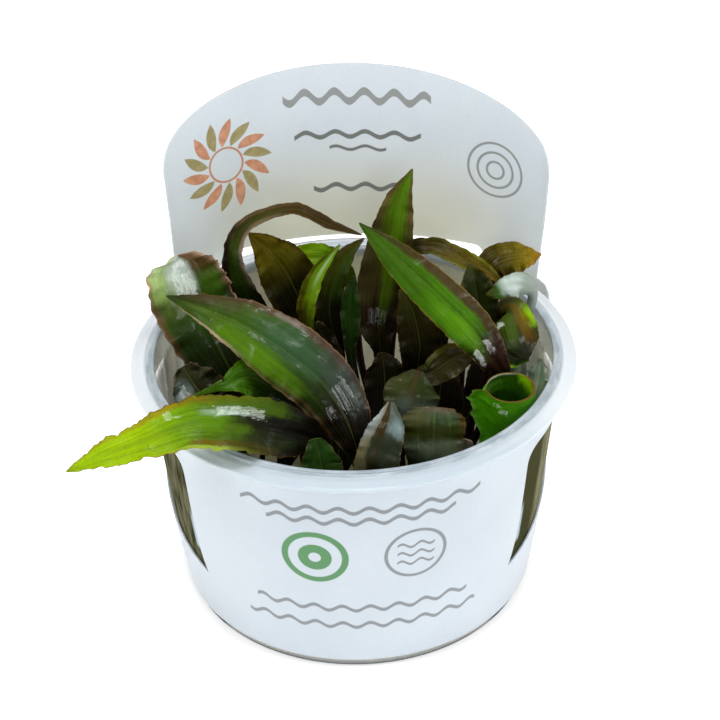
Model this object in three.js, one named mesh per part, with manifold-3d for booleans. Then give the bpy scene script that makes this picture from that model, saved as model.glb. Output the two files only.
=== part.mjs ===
// Potted Cryptocoryne nurii: tissue-cultured plants in a clear cup with a wrapped card sleeve
// Millimetres, +Z up, origin at the middle of the cup's underside, front towards -Y
import * as THREE from 'three';
import { mergeVertices } from 'three/addons/utils/BufferGeometryUtils.js';
import Module from 'manifold-3d';

// Driving dimensions of the cup
const CUP_HEIGHT = 60.5;
const BASE_RADIUS = 41;
const WALL_SLOPE = 0.165;
const WALL_BEND = 0.00083;
const WALL_THICKNESS = 0.8;
const FLOOR_THICKNESS = 1.0;
const FOOT_ROUNDING = 1.0;
const CORNER_TOP = 3;
const FLANGE_RADIUS = 51;
const FLANGE_THICKNESS = 1.1;
const FLANGE_DROOP = 0.6;
const BEAD_OUTER_RADIUS = 47.5;
const BEAD_INNER_RADIUS = 45.6;
const BEAD_DEPTH = 3.6;
const CUP_SEGMENTS = 36;
const WALL_STEPS = 4;

// Driving dimensions of the card sleeve
const CARD_THICKNESS = 0.4;
const GAP = 0.3;
const SLEEVE_BOTTOM = 3;
const SLEEVE_TOP = 57.2;
const WINDOW_TIP = [41.7, 17.5];
const HEADER_TOP = 106.5;
const HEADER_HALF_WIDTH = 47;
const HEADER_FLARE = 2.4;
const HEADER_SHOULDER = 87.3;
const SHOULDER_RISE = 9.4;
const SHOULDER_KNEE = [36.5, 101];
const ARCH_JOIN = [29.7, 102.9];
const ARCH_RISE = [19, 105.9];
const ARCH_FLAT = 8;
const HEADER_PLAN_RADIUS = 70;
const HEADER_BACK = 48.7;
const HEADER_LEAN = 0.08;
const HEADER_SHIFT = 1.8;
const HEADER_TILT = 0.035;
const SLOT_HALF_LENGTH = 32;
const SLOT_TOP = 61.6;
const CARD_LAYOUT_RADIUS = 46;
const CARD_SEGMENTS = 36;
const CARD_FACET = 30;
const CUTTER_FACET = 14;
const CUTTER_REACH = 3;
const OUTLINE_STEPS = 6;
const ABOVE_HEADER = 5;
const BESIDE_HEADER = 8;
const HEADER_BEND_START = 12;
const HEADER_BEND_REACH = 1.3;

// Driving dimensions of the growing gel and the crowns; the crown's profile holds shares of its radius
// and heights above its foot
const GEL_TOP = 12;
const CROWN_RADIUS = 2.2;
const CROWN_HEIGHT = 7;
const CROWN_PROFILE = [[0.7, 0], [1, 1.5], [0.8, 5], [0.4, 6.6]];
const CROWN_SINK = 2.5;
const CROWN_SEGMENTS = 7;
const POCKET_SEGMENTS = 8;
const LEAF_START_RADIUS = 3.6;
const LEAF_START_HEIGHT = 14;

// Driving dimensions shared by all leaves
const STEM_HALF_THICKNESS = 0.8;
const STEM_HALF_WIDTH = 0.9;
const BLADE_HALF_THICKNESS = 0.35;
const LEAF_STATIONS = 8;
const LEAF_SPANS = 4;
const BLADE_START_SPREAD = 0.08;
const EDGE_THINNING = 0.8;
const TIP_HALF_WIDTH = 0.15;
const TIP_HALF_THICKNESS = 0.12;
const TANGENT_STEP = 1e-3;

// Corners closer than this are one corner
const MERGE_DISTANCE = 1e-4;

const wasm = await Module();
wasm.setup();
const { Manifold } = wasm;

const group = new THREE.Group();

function finish(colour, roughness, metalness = 0, opacity = 1) {
  return new THREE.MeshStandardMaterial({
    color: colour,
    roughness,
    metalness,
    opacity,
    transparent: opacity < 1,
  });
}

function addPiece(name, geometry, material) {
  const mesh = new THREE.Mesh(geometry, material);
  mesh.name = name;
  group.add(mesh);
  return mesh;
}

function withSharedCorners(geometry) {
  const bare = geometry.clone();
  bare.deleteAttribute('normal');
  bare.deleteAttribute('uv');
  return mergeVertices(bare, MERGE_DISTANCE);
}

function toSolid(geometry) {
  const merged = withSharedCorners(geometry);
  return new Manifold(new wasm.Mesh({
    numProp: 3,
    vertProperties: new Float32Array(merged.attributes.position.array),
    triVerts: new Uint32Array(merged.index.array),
  }));
}

function meshGeometry(numbers, corners) {
  const geometry = new THREE.BufferGeometry();
  geometry.setAttribute('position', new THREE.BufferAttribute(new Float32Array(numbers), 3));
  geometry.setIndex(new THREE.BufferAttribute(new Uint32Array(corners), 1));
  geometry.computeVertexNormals();
  return geometry;
}

function toGeometry(solid) {
  const mesh = solid.getMesh();
  return meshGeometry(mesh.vertProperties, mesh.triVerts);
}

// Triangles halved at their longest edge until no edge is over the limit
// The two triangles at an edge share its middle
function withShortEdges(geometry, limit) {
  const place = geometry.attributes.position;
  const pointAt = (i) => new THREE.Vector3().fromBufferAttribute(place, i);
  const points = Array.from({ length: place.count }, (_, i) => pointAt(i));
  const middles = new Map();
  const corners = [];
  const middle = (a, b) => {
    const key = `${Math.min(a, b)} ${Math.max(a, b)}`;
    if (!middles.has(key)) {
      middles.set(key, points.length);
      points.push(points[a].clone().lerp(points[b], 0.5));
    }
    return middles.get(key);
  };
  const halve = (a, b, c) => {
    const ab = points[a].distanceTo(points[b]);
    const bc = points[b].distanceTo(points[c]);
    const ca = points[c].distanceTo(points[a]);
    if (Math.max(ab, bc, ca) <= limit) {
      corners.push(a, b, c);
    } else if (ab >= bc && ab >= ca) {
      halve(a, middle(a, b), c);
      halve(middle(a, b), b, c);
    } else if (bc >= ca) {
      halve(b, c, a);
    } else {
      halve(c, a, b);
    }
  };
  for (let i = 0; i < geometry.index.count; i += 3) {
    halve(geometry.index.getX(i), geometry.index.getX(i + 1), geometry.index.getX(i + 2));
  }
  return meshGeometry(points.flatMap((point) => point.toArray()), corners);
}

// Every point of a mesh moved to its new place
function bend(geometry, move) {
  const place = geometry.attributes.position;
  const point = new THREE.Vector3();
  for (let i = 0; i < place.count; i += 1) {
    move(point.fromBufferAttribute(place, i));
    place.setXYZ(i, point.x, point.y, point.z);
  }
  geometry.computeVertexNormals();
  return geometry;
}

// A profile of radius and height pairs turned about +Z
function turned(profile, segments) {
  const points = profile.map(([radius, height]) => new THREE.Vector2(radius, height));
  const geometry = new THREE.LatheGeometry(points, segments);
  geometry.rotateX(Math.PI / 2);
  return geometry;
}

function smooth(from, to, value) {
  const t = THREE.MathUtils.clamp((value - from) / (to - from), 0, 1);
  return t * t * (3 - 2 * t);
}

// Radius of the sleeve's outer face; the cup's wall stands one card and one gap inside it
function sleeveRadius(height) {
  const z = Math.min(height, SLEEVE_TOP);
  return BASE_RADIUS + WALL_SLOPE * z - WALL_BEND * z * z;
}

function cupRadius(height) {
  return sleeveRadius(height) - CARD_THICKNESS - GAP;
}

function insideRadius(height) {
  return cupRadius(height) - WALL_THICKNESS;
}

// The clear cup with its rim bead and its wide flange
function cupProfile() {
  const wallTop = CUP_HEIGHT - BEAD_DEPTH;
  const flangeTop = CUP_HEIGHT - FLANGE_DROOP;
  const outside = [
    [0, 0],
    [cupRadius(0) - FOOT_ROUNDING, 0],
    [cupRadius(FOOT_ROUNDING), FOOT_ROUNDING],
  ];
  const inside = [];
  for (let i = 1; i <= WALL_STEPS; i += 1) {
    const z = FOOT_ROUNDING + (wallTop - FOOT_ROUNDING) * i / WALL_STEPS;
    outside.push([cupRadius(z), z]);
    inside.unshift([insideRadius(z), z]);
  }
  const floorRadius = insideRadius(FLOOR_THICKNESS) - FOOT_ROUNDING;
  return [
    ...outside,
    [BEAD_OUTER_RADIUS, flangeTop - FLANGE_THICKNESS - FLANGE_DROOP / 2],
    [FLANGE_RADIUS, flangeTop - FLANGE_THICKNESS - FLANGE_DROOP],
    [FLANGE_RADIUS, flangeTop - FLANGE_DROOP],
    [BEAD_OUTER_RADIUS + GAP, flangeTop],
    [BEAD_OUTER_RADIUS, CUP_HEIGHT],
    [BEAD_INNER_RADIUS + GAP, CUP_HEIGHT],
    [BEAD_INNER_RADIUS, CUP_HEIGHT - GAP],
    [BEAD_INNER_RADIUS, CUP_HEIGHT - BEAD_DEPTH / 2],
    ...inside,
    [insideRadius(CORNER_TOP), CORNER_TOP],
    [floorRadius, FLOOR_THICKNESS],
    [0, FLOOR_THICKNESS],
  ];
}

addPiece('cup', turned(cupProfile(), CUP_SEGMENTS), finish(0xeef3f7, 0.12, 0, 0.35));

// Flat outlines of the sleeve: distance round the cup from the named middle line, then height
function windowOutline() {
  const [tipX, tipZ] = WINDOW_TIP;
  const shape = new THREE.Shape();
  shape.moveTo(tipX, tipZ);
  shape.bezierCurveTo(50, 19.5, 60, 21.5, 72, 28.5);
  shape.bezierCurveTo(79, 32.5, 87, 39, 87.5, 45);
  shape.quadraticCurveTo(87.5, 50.3, 82.5, 50.3);
  shape.lineTo(48.5, 50.8);
  shape.quadraticCurveTo(43.8, 50.6, 43.7, 46.5);
  shape.lineTo(43.6, 31);
  shape.quadraticCurveTo(43.4, 23, tipX, tipZ);
  return shape;
}

function slotOutline() {
  const low = SLEEVE_TOP;
  const round = (SLOT_TOP - low) / 2;
  const end = SLOT_HALF_LENGTH - round;
  const shape = new THREE.Shape();
  shape.moveTo(-end, low);
  shape.lineTo(end, low);
  shape.absarc(end, low + round, round, -Math.PI / 2, Math.PI / 2);
  shape.lineTo(-end, SLOT_TOP);
  shape.absarc(-end, low + round, round, Math.PI / 2, Math.PI * 1.5);
  return shape;
}

// Everything in front of the header and above the wrapped band
function frontCutOutline() {
  const half = Math.PI * CARD_LAYOUT_RADIUS - HEADER_HALF_WIDTH;
  const top = HEADER_TOP + ABOVE_HEADER;
  const shape = new THREE.Shape();
  shape.moveTo(-half, SLEEVE_TOP);
  shape.lineTo(half, SLEEVE_TOP);
  shape.lineTo(half - HEADER_FLARE, HEADER_SHOULDER);
  shape.lineTo(half - HEADER_FLARE, top);
  shape.lineTo(-half + HEADER_FLARE, top);
  shape.lineTo(-half + HEADER_FLARE, HEADER_SHOULDER);
  shape.closePath();
  return shape;
}

// Everything above the header's rounded shoulders and its arched top
function topCutOutline() {
  const side = HEADER_HALF_WIDTH + HEADER_FLARE;
  const beyond = side + BESIDE_HEADER;
  const top = HEADER_TOP + ABOVE_HEADER;
  const [outX, outZ] = [side, HEADER_SHOULDER + SHOULDER_RISE];
  const [kneeX, kneeZ] = SHOULDER_KNEE;
  const [joinX, joinZ] = ARCH_JOIN;
  const [riseX, riseZ] = ARCH_RISE;
  const shape = new THREE.Shape();
  shape.moveTo(-beyond, HEADER_SHOULDER);
  shape.lineTo(-side, HEADER_SHOULDER);
  shape.bezierCurveTo(-outX, outZ, -kneeX, kneeZ, -joinX, joinZ);
  shape.bezierCurveTo(-riseX, riseZ, -ARCH_FLAT, HEADER_TOP, 0, HEADER_TOP);
  shape.bezierCurveTo(ARCH_FLAT, HEADER_TOP, riseX, riseZ, joinX, joinZ);
  shape.bezierCurveTo(kneeX, kneeZ, outX, outZ, side, HEADER_SHOULDER);
  shape.lineTo(beyond, HEADER_SHOULDER);
  shape.lineTo(beyond, top);
  shape.lineTo(-beyond, top);
  shape.closePath();
  return shape;
}

// A flat outline bent round a plain tube of the layout radius, thick enough to cut through it
function bentCutter(shape, middleAngle, mirror = 1) {
  const points = shape.getPoints(OUTLINE_STEPS);
  points.forEach((point) => point.set(point.x * mirror, point.y));
  const outline = points.filter((point, i) => point.distanceTo(points.at(i - 1)) > MERGE_DISTANCE);
  const flat = new THREE.ExtrudeGeometry(new THREE.Shape(outline), {
    depth: CUTTER_REACH * 2,
    bevelEnabled: false,
  });
  return toSolid(bend(withShortEdges(withSharedCorners(flat), CUTTER_FACET), (point) => {
    const angle = middleAngle + point.x / CARD_LAYOUT_RADIUS;
    const radius = CARD_LAYOUT_RADIUS + point.z - CUTTER_REACH;
    point.set(radius * Math.sin(angle), -radius * Math.cos(angle), point.y);
  }));
}

// From the plain tube to the real card: a cone on the cup, an upright curved header behind it
function shapeCard(point) {
  const angle = Math.atan2(point.x, -point.y);
  const offset = Math.hypot(point.x, point.y) - CARD_LAYOUT_RADIUS;
  const height = point.z;
  const side = Math.sign(angle);
  const alongBack = (Math.PI - Math.abs(angle)) * CARD_LAYOUT_RADIUS;
  const radius = sleeveRadius(height) - CARD_THICKNESS / 2 + offset;
  const wallX = radius * Math.sin(angle);
  const wallY = -radius * Math.cos(angle);
  const turn = alongBack / HEADER_PLAN_RADIUS;
  const backY = HEADER_BACK + HEADER_LEAN * Math.max(height - SLEEVE_TOP, 0);
  const shift = HEADER_SHIFT * smooth(HEADER_BEND_START, HEADER_SHOULDER, height);
  const cardX = side * (HEADER_PLAN_RADIUS + offset) * Math.sin(turn) + shift;
  const cardY = backY + offset - (HEADER_PLAN_RADIUS + offset) * (1 - Math.cos(turn));
  const behind = 1 - smooth(HEADER_HALF_WIDTH, HEADER_HALF_WIDTH * HEADER_BEND_REACH, alongBack);
  const blend = behind * smooth(HEADER_BEND_START, SLEEVE_TOP, height);
  const drop = HEADER_TILT * cardX * smooth(SLEEVE_TOP, HEADER_SHOULDER, height);
  point.set(wallX, wallY, height).lerp(new THREE.Vector3(cardX, cardY, height), blend);
  point.z -= drop;
}

function sleeveGeometry() {
  const inner = CARD_LAYOUT_RADIUS - CARD_THICKNESS / 2;
  const outer = CARD_LAYOUT_RADIUS + CARD_THICKNESS / 2;
  const tubeTop = HEADER_TOP + ABOVE_HEADER / 2;
  const tube = toSolid(turned([
    [inner, SLEEVE_BOTTOM],
    [outer, SLEEVE_BOTTOM],
    [outer, tubeTop],
    [inner, tubeTop],
    [inner, SLEEVE_BOTTOM],
  ], CARD_SEGMENTS));
  const cutters = [
    bentCutter(windowOutline(), 0, 1),
    bentCutter(windowOutline(), 0, -1),
    bentCutter(slotOutline(), Math.PI),
    bentCutter(frontCutOutline(), 0),
    bentCutter(topCutOutline(), Math.PI),
  ];
  const cut = cutters.reduce((card, cutter) => card.subtract(cutter), tube);
  return bend(withShortEdges(toGeometry(cut), CARD_FACET), shapeCard);
}

addPiece('label_sleeve', sleeveGeometry(), finish(0xe4eaee, 0.45));

// Middles of the six plantlets' crowns on the gel
const CROWNS = [[-7, -13], [-25, -5], [-7, 17], [11, 13], [28, 4], [19, -15]];

// The growing gel, with a pocket for the foot of each crown
function gelSolid() {
  const low = FLOOR_THICKNESS + GAP;
  const profile = [
    [0, low],
    [insideRadius(low) - FOOT_ROUNDING - GAP, low],
    [insideRadius(CORNER_TOP) - GAP, CORNER_TOP + GAP],
    [insideRadius(GEL_TOP) - GAP, GEL_TOP],
    [0, GEL_TOP],
  ];
  const pocketRadius = CROWN_RADIUS + GAP;
  const pocketBottom = GEL_TOP - CROWN_SINK - GAP;
  const pocketTop = GEL_TOP + 1;
  const pocketAt = (x, y) => toSolid(turned([
    [0, pocketBottom],
    [pocketRadius, pocketBottom],
    [pocketRadius, pocketTop],
    [0, pocketTop],
  ], POCKET_SEGMENTS).translate(x, y, 0));
  return CROWNS.reduce(
    (gel, [x, y]) => gel.subtract(pocketAt(x, y)),
    toSolid(turned(profile, CUP_SEGMENTS)),
  );
}

addPiece('growing_gel', toGeometry(gelSolid()), finish(0xd9d6bf, 0.25, 0, 0.8));

function crownGeometry() {
  const low = GEL_TOP - CROWN_SINK;
  return turned([
    [0, low],
    ...CROWN_PROFILE.map(([share, height]) => [CROWN_RADIUS * share, low + height]),
    [0, low + CROWN_HEIGHT],
  ], CROWN_SEGMENTS);
}

CROWNS.forEach(([x, y], index) => {
  const crown = addPiece(`crown_${index + 1}`, crownGeometry(), finish(0x6b5a3a, 0.6));
  crown.position.set(x, y, 0);
});

// Smooth curve through points, each holding x, y, z and the half width there
function throughPoints(points, t) {
  const last = points.length - 1;
  const scaled = THREE.MathUtils.clamp(t, 0, 1) * last;
  const index = Math.min(Math.floor(scaled), last - 1);
  const f = scaled - index;
  const pick = (k) => points[THREE.MathUtils.clamp(k, 0, last)];
  const [a, b, c, d] = [pick(index - 1), pick(index), pick(index + 1), pick(index + 2)];
  return a.map((_, i) => 0.5 * (
    2 * b[i] + (c[i] - a[i]) * f
    + (2 * a[i] - 5 * b[i] + 4 * c[i] - d[i]) * f * f
    + (3 * b[i] - a[i] - 3 * c[i] + d[i]) * f * f * f));
}

function alongList(vectors, t) {
  const last = vectors.length - 1;
  const scaled = THREE.MathUtils.clamp(t, 0, 1) * last;
  const index = Math.min(Math.floor(scaled), Math.max(last - 1, 0));
  const next = Math.min(index + 1, last);
  return new THREE.Vector3(...vectors[index]).lerp(new THREE.Vector3(...vectors[next]), scaled - index);
}

// One grown leaf: a round petiole that widens into a thin, cupped or rolled blade
function leafGeometry(leaf) {
  const { crown, turn, stem, roll, face, points } = leaf;
  const { spans = LEAF_SPANS, stations = LEAF_STATIONS } = leaf;
  const [crownX, crownY] = CROWNS[crown - 1];
  const startAngle = THREE.MathUtils.degToRad(turn);
  const start = [
    crownX + LEAF_START_RADIUS * Math.cos(startAngle),
    crownY + LEAF_START_RADIUS * Math.sin(startAngle),
    LEAF_START_HEIGHT,
    STEM_HALF_WIDTH,
  ];
  const spine = [start, ...points];
  const positions = [];
  for (let k = 0; k <= stations; k += 1) {
    const t = k / stations;
    const [x, y, z, width] = throughPoints(spine, t);
    const half = Math.max(width, TIP_HALF_WIDTH);
    const ahead = new THREE.Vector3(...throughPoints(spine, t + TANGENT_STEP));
    const tangent = ahead.sub(new THREE.Vector3(...throughPoints(spine, t - TANGENT_STEP))).normalize();
    const side = new THREE.Vector3().crossVectors(tangent, alongList(face, t)).normalize();
    const normal = new THREE.Vector3().crossVectors(side, tangent);
    const bladeness = smooth(stem - BLADE_START_SPREAD, stem + BLADE_START_SPREAD, t);
    const middle = THREE.MathUtils.lerp(STEM_HALF_THICKNESS, BLADE_HALF_THICKNESS, bladeness);
    const towardsTip = t > 0.5 ? Math.max(half * 0.5, TIP_HALF_THICKNESS) : middle;
    const thickness = Math.min(middle, half, towardsTip);
    const curl = roll * bladeness;
    const place = (u, sign) => {
      const across = curl === 0 ? u : Math.sin(u * curl) / curl;
      const raised = curl === 0 ? 0 : (1 - Math.cos(u * curl)) / curl;
      const atEdge = Math.abs(u) === 1;
      const taper = bladeness < 0.5 ? 1 - u * u : 1 - EDGE_THINNING * u * u;
      const rise = atEdge ? 0 : sign * thickness * taper;
      const sideways = across * half - rise * Math.sin(u * curl);
      const upwards = raised * half + rise * Math.cos(u * curl);
      positions.push(
        x + side.x * sideways + normal.x * upwards,
        y + side.y * sideways + normal.y * upwards,
        z + side.z * sideways + normal.z * upwards,
      );
    };
    for (let j = 0; j <= spans; j += 1) place(-1 + 2 * j / spans, 1);
    for (let j = spans - 1; j >= 1; j -= 1) place(-1 + 2 * j / spans, -1);
  }
  const geometry = new THREE.BufferGeometry();
  geometry.setAttribute('position', new THREE.Float32BufferAttribute(positions, 3));
  geometry.setIndex(leafFaces(spans, stations));
  geometry.computeVertexNormals();
  return geometry;
}

function leafFaces(spans, stations) {
  const ring = 2 * spans;
  const faces = [];
  for (let k = 0; k < stations; k += 1) {
    for (let j = 0; j < ring; j += 1) {
      const a = k * ring + j;
      const b = k * ring + (j + 1) % ring;
      faces.push(a, b, a + ring, b, b + ring, a + ring);
    }
  }
  const end = stations * ring;
  for (let j = 0; j < spans; j += 1) {
    const quad = [j, j + 1, ring - j - 1, (ring - j) % ring];
    const triangles = [[quad[0], quad[1], quad[2]], [quad[0], quad[2], quad[3]]];
    triangles.filter((three) => new Set(three).size === 3).forEach(([a, b, c]) => {
      faces.push(a, c, b, end + a, end + b, end + c);
    });
  }
  return faces;
}

// The leaves: the crown each grows from, its direction there in degrees, the share of its length
// that is petiole, the roll of its blade in radians, where its upper side faces from foot to tip,
// and its middle line as points of x, y, z and half width
const FORWARD = [0, -1, 0.3];
const LEAVES = [
  // Bright leaf that hangs out over the rim at the front left
  {
    crown: 1, turn: -90, stem: 0.2, roll: 0.5, colour: 0x8fae1c, stations: 12,
    face: [FORWARD, [0, -0.7, 0.7], [0, -0.5, 0.87]],
    points: [[-7, -24, 36, 0.9], [-7, -31, 56, 2.2], [-15, -36, 64, 5.8], [-24.5, -38, 67.5, 6.2],
      [-35, -40, 69, 5.8], [-44.5, -42, 66.5, 4.4], [-54, -44, 64, 2.8], [-61, -46, 62, 0.2]],
  },
  // Largest leaf, arching to the back left above its neighbours
  {
    crown: 1, turn: 0, stem: 0.22, roll: -0.5, colour: 0x3f6420, stations: 12,
    face: [FORWARD, [0.1, -0.82, 0.57], [0, -0.8, 0.6]],
    points: [[1, -16, 32, 0.9], [0.5, -23, 47.5, 2.4], [-2, -21, 56, 6.2], [-7, -17, 63, 7.6],
      [-15, -12, 68, 8], [-24.5, -6, 71.5, 6.4], [-33.5, -1, 73, 3.6], [-42, 3, 74, 0.2]],
  },
  // Broad blunt leaf standing at the left wall
  {
    crown: 2, turn: 70, stem: 0.25, roll: -0.3, colour: 0x4f5c34,
    face: [FORWARD, [0.2, -0.8, 0.5], [0, -0.6, 0.8]],
    points: [[-22, 3, 36, 0.9], [-25.5, 0, 47, 4], [-30.5, 3, 58.5, 8.4], [-34.5, 6, 66, 9.6],
      [-37.5, 8, 73, 9.4], [-39, 9, 78.5, 7], [-39.5, 9, 80.5, 3.5]],
  },
  // Narrow folded leaf in a high arch
  {
    crown: 3, turn: 170, stem: 0.22, roll: 0.9, colour: 0x4a3f20, stations: 15,
    face: [[-0.3, -0.9, 0.2], [-0.2, -0.9, 0.3], [-0.3, -0.9, 0.3], [0, -0.5, 0.8], [0.3, -0.5, 0.8]],
    points: [[-18, 18, 40, 0.9], [-20.6, 17, 55, 2.4], [-24, 17, 63.4, 4.1], [-26.5, 17, 70.4, 3.7],
      [-27, 17, 76, 2.8], [-25.8, 18, 80.6, 2.4], [-22.5, 18, 84.2, 2], [-16.5, 19, 86, 1.8],
      [-11.5, 20, 85.5, 1.8], [-5, 21, 81, 1.6], [2.5, 22, 77.5, 0.2]],
  },
  // Broad dark leaf behind the arch
  {
    crown: 3, turn: 100, stem: 0.25, roll: 0.3, colour: 0x34320f,
    face: [FORWARD, [0, -0.9, 0.4], [-0.1, -0.82, 0.57]],
    points: [[-8, 24, 36, 0.9], [-8.5, 24, 47, 3], [-12, 25, 56.5, 6.2], [-16, 26, 66, 6.6],
      [-20, 26, 72, 4], [-24, 25, 77, 0.2]],
  },
  // Bright young leaf at the back wall
  {
    crown: 4, turn: 120, stem: 0.35, roll: 0.3, colour: 0x86b81a, face: [FORWARD, [0, -0.82, 0.57]],
    points: [[2, 30, 34, 0.9], [0, 33, 55.5, 1.5], [-4, 33, 63, 3.2], [-9.5, 33, 64.8, 3.6],
      [-14, 32.4, 63.8, 2.8], [-16, 32, 63.2, 0.5]],
  },
  // Slim bright leaf folded along its middle
  {
    crown: 3, turn: 240, stem: 0.3, roll: 1.0, colour: 0x7fa01e,
    face: [[-0.3, -0.9, 0.3], [-0.3, -0.82, 0.5]],
    points: [[-8, 12, 34, 0.9], [-10.5, 13, 53, 1.6], [-10.5, 13, 60.5, 2.4], [-10, 13, 66, 2.8],
      [-7.5, 13, 73, 2.2], [-2.5, 13, 80.5, 0.2]],
  },
  // Dark leaf beside it
  {
    crown: 3, turn: 20, stem: 0.3, roll: 0.6, colour: 0x33401a, face: [FORWARD, [-0.4, -0.8, 0.5]],
    points: [[-3, 18, 34, 0.9], [-4, 18, 49.5, 2], [-5.5, 18, 59.5, 3.2], [-4, 18, 68, 3.2],
      [-1, 18, 74.5, 2.2], [3, 18, 79, 0.2]],
  },
  // Tallest leaf, upright in the middle of the back
  {
    crown: 4, turn: 175, stem: 0.25, roll: 0.5, colour: 0x5a4a26,
    face: [FORWARD, [0, -0.9, 0.4], [0, -0.82, 0.57]],
    points: [[6, 20, 36, 0.9], [6.5, 21, 45.5, 2], [6, 22, 53, 5], [7.5, 23, 63, 6.6],
      [9.5, 24, 76, 5.4], [11.5, 25, 85, 3.4], [14.5, 26, 92.5, 0.2]],
  },
  // Green leaf lying across the right half, tip high in the middle
  {
    crown: 6, turn: 60, stem: 0.28, roll: -0.4, colour: 0x3c7a1a,
    face: [[-0.3, -1, 0.3], [-0.2, -0.7, 0.7], [0, -0.82, 0.57]],
    points: [[26, -8, 36, 0.9], [33.5, -8, 54, 1.5], [31, -8, 63, 3.8], [26, -5, 69.5, 5.2],
      [18, 0, 76, 5], [10, 5, 82, 3.6], [2, 9, 88.5, 0.2]],
  },
  // Narrow twisted leaf reaching right behind it
  {
    crown: 4, turn: 85, stem: 0.35, roll: 0.6, colour: 0x6a5a1e,
    face: [FORWARD, [0, -0.7, 0.7], [0, -0.9, 0.5]],
    points: [[9, 28, 38, 0.9], [12.5, 27, 66.5, 2], [18.5, 26, 71.5, 2.2], [25.5, 24, 69.5, 2.4],
      [31.5, 22, 67, 1.8], [35.5, 20, 64.5, 0.2]],
  },
  // Golden brown leaf at the back right
  {
    crown: 5, turn: 110, stem: 0.35, roll: -0.5, colour: 0x7d6214, face: [FORWARD, [0, -0.7, 0.7]],
    points: [[26, 22, 38, 0.9], [30.5, 25, 60, 2.5], [33.5, 26, 65.5, 4.4], [38, 27, 67, 4.4],
      [42, 27, 67.5, 2.6], [45, 27, 68, 0.2]],
  },
  // Dark leaf in the shade of the green one
  {
    crown: 4, turn: 15, stem: 0.35, roll: 0.5, colour: 0x262f14, face: [FORWARD, [0.2, -0.82, 0.57]],
    points: [[20, 16, 36, 0.9], [29.5, 14, 54, 4], [29.5, 15, 61, 5], [28.5, 16, 67.5, 3.8],
      [27, 17, 72.5, 0.3]],
  },
  // Small wet leaf bent over at the right wall
  {
    crown: 5, turn: 60, stem: 0.6, roll: -0.4, colour: 0x7f9a6c, stations: 12,
    face: [FORWARD, FORWARD, [0, -0.8, 0.6], [0, -0.7, 0.7]],
    points: [[33, 14, 38, 0.9], [39.5, 14.5, 55, 1], [41.6, 14, 62, 1.1], [41.8, 13.5, 66, 1.4],
      [39.6, 13, 68.4, 3], [36.2, 13, 68, 2.8], [33.5, 13, 66.6, 1.8], [30.9, 13, 66, 0.3]],
  },
  // Yellow-green leaf drooping at the right wall
  {
    crown: 5, turn: 170, stem: 0.55, roll: -0.4, colour: 0x6f8f1c, stations: 12,
    face: [FORWARD, FORWARD, [-0.1, -0.5, 0.8], [0.1, -0.5, 0.8]],
    points: [[28, 6, 36, 0.9], [33, 8.5, 54, 1.1], [35, 8.5, 62, 1.8], [36, 6.5, 65.4, 4.1],
      [37, 3, 64.8, 4.9], [38, -2, 62.8, 4.5], [39.2, -5.5, 60, 0.5]],
  },
  // Dark leaf lying under it, its near edge bright
  {
    crown: 5, turn: 290, stem: 0.45, roll: 0.3, colour: 0x4a5a28, stations: 12,
    face: [FORWARD, [0, -0.7, 0.7], [0, -0.6, 0.8]],
    points: [[32, -1, 34, 0.9], [34.4, 0, 50, 1.4], [34, 0.5, 55.5, 2.4], [35.4, -1.2, 58.4, 3.2],
      [37.8, -2.4, 58.8, 2.7], [40, -3.2, 58.2, 0.3]],
  },
  // Leaf rolled into an open tube at the front right
  {
    crown: 6, turn: 350, stem: 0.3, roll: 2.4, colour: 0x3f8a1c, spans: 8,
    face: [[-0.3, 0.9, 0.1], [-0.1, 0.9, 0.2]],
    points: [[31, -22, 30, 1.4], [33, -25, 40, 8], [33.5, -25, 50, 10.5],
      [33.5, -25, 57, 11], [34, -25.5, 62, 10.5]],
  },
  // Spreading grey-brown leaf in the middle of the front
  {
    crown: 6, turn: 150, stem: 0.35, roll: -0.5, colour: 0x565a3c, face: [FORWARD, [0, -0.7, 0.7]],
    points: [[9, -16, 34, 0.9], [11, -18, 50, 3], [12.5, -18, 56, 5.8], [13, -16, 60, 6.4],
      [14.5, -13, 63, 1.5]],
  },
  // Upright leaf inside the front wall
  {
    crown: 6, turn: 230, stem: 0.3, roll: -0.4, colour: 0x4b4a30, face: [[0, -1, 0.2], [0, -0.85, 0.5]],
    points: [[13, -28, 30, 1.2], [16.5, -34, 51, 5.5], [17, -33, 58.5, 6.8],
      [17.2, -31.2, 63, 7], [17.4, -29.5, 64.8, 4.5]],
  },
  // Pale folded leaf beside it
  {
    crown: 1, turn: 300, stem: 0.3, roll: 0.8, colour: 0x6d6c4e,
    face: [[0, -1, 0.2], [-0.3, -0.85, 0.5]],
    points: [[2.4, -28, 30, 1.2], [4.3, -35, 51, 5.2], [5.7, -34, 57.5, 5.2], [7.4, -32, 62, 4.2],
      [8, -29, 66, 0.8]],
  },
  // Short green leaf inside the front wall
  {
    crown: 1, turn: 215, stem: 0.4, roll: 0.3, colour: 0x2f5a20, face: [[0, -1, 0.2], [0, -0.9, 0.4]],
    points: [[-12, -30, 34, 1.2], [-7.5, -38, 52, 3.8], [-7.5, -38, 57, 4.6], [-8.5, -37, 62.5, 1.5]],
  },
  // Green leaf under the largest one, with a thin tip to the left
  {
    crown: 1, turn: 110, stem: 0.3, roll: 0.3, colour: 0x35741a,
    face: [FORWARD, [0, -0.7, 0.6], [0, -0.82, 0.57]],
    points: [[-12, -8, 34, 0.9], [-10, -11, 51, 3.4], [-17, -10, 56, 5.4], [-23.5, -10, 60, 4.8],
      [-29.5, -12, 59.5, 1.4], [-36.5, -14, 58, 0.2]],
  },
  // Dark crumpled leaf at the left wall
  {
    crown: 2, turn: 290, stem: 0.35, roll: 0.7, colour: 0x2c3020,
    face: [[0.3, -0.9, 0.2], [0.3, -0.82, 0.4]],
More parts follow.
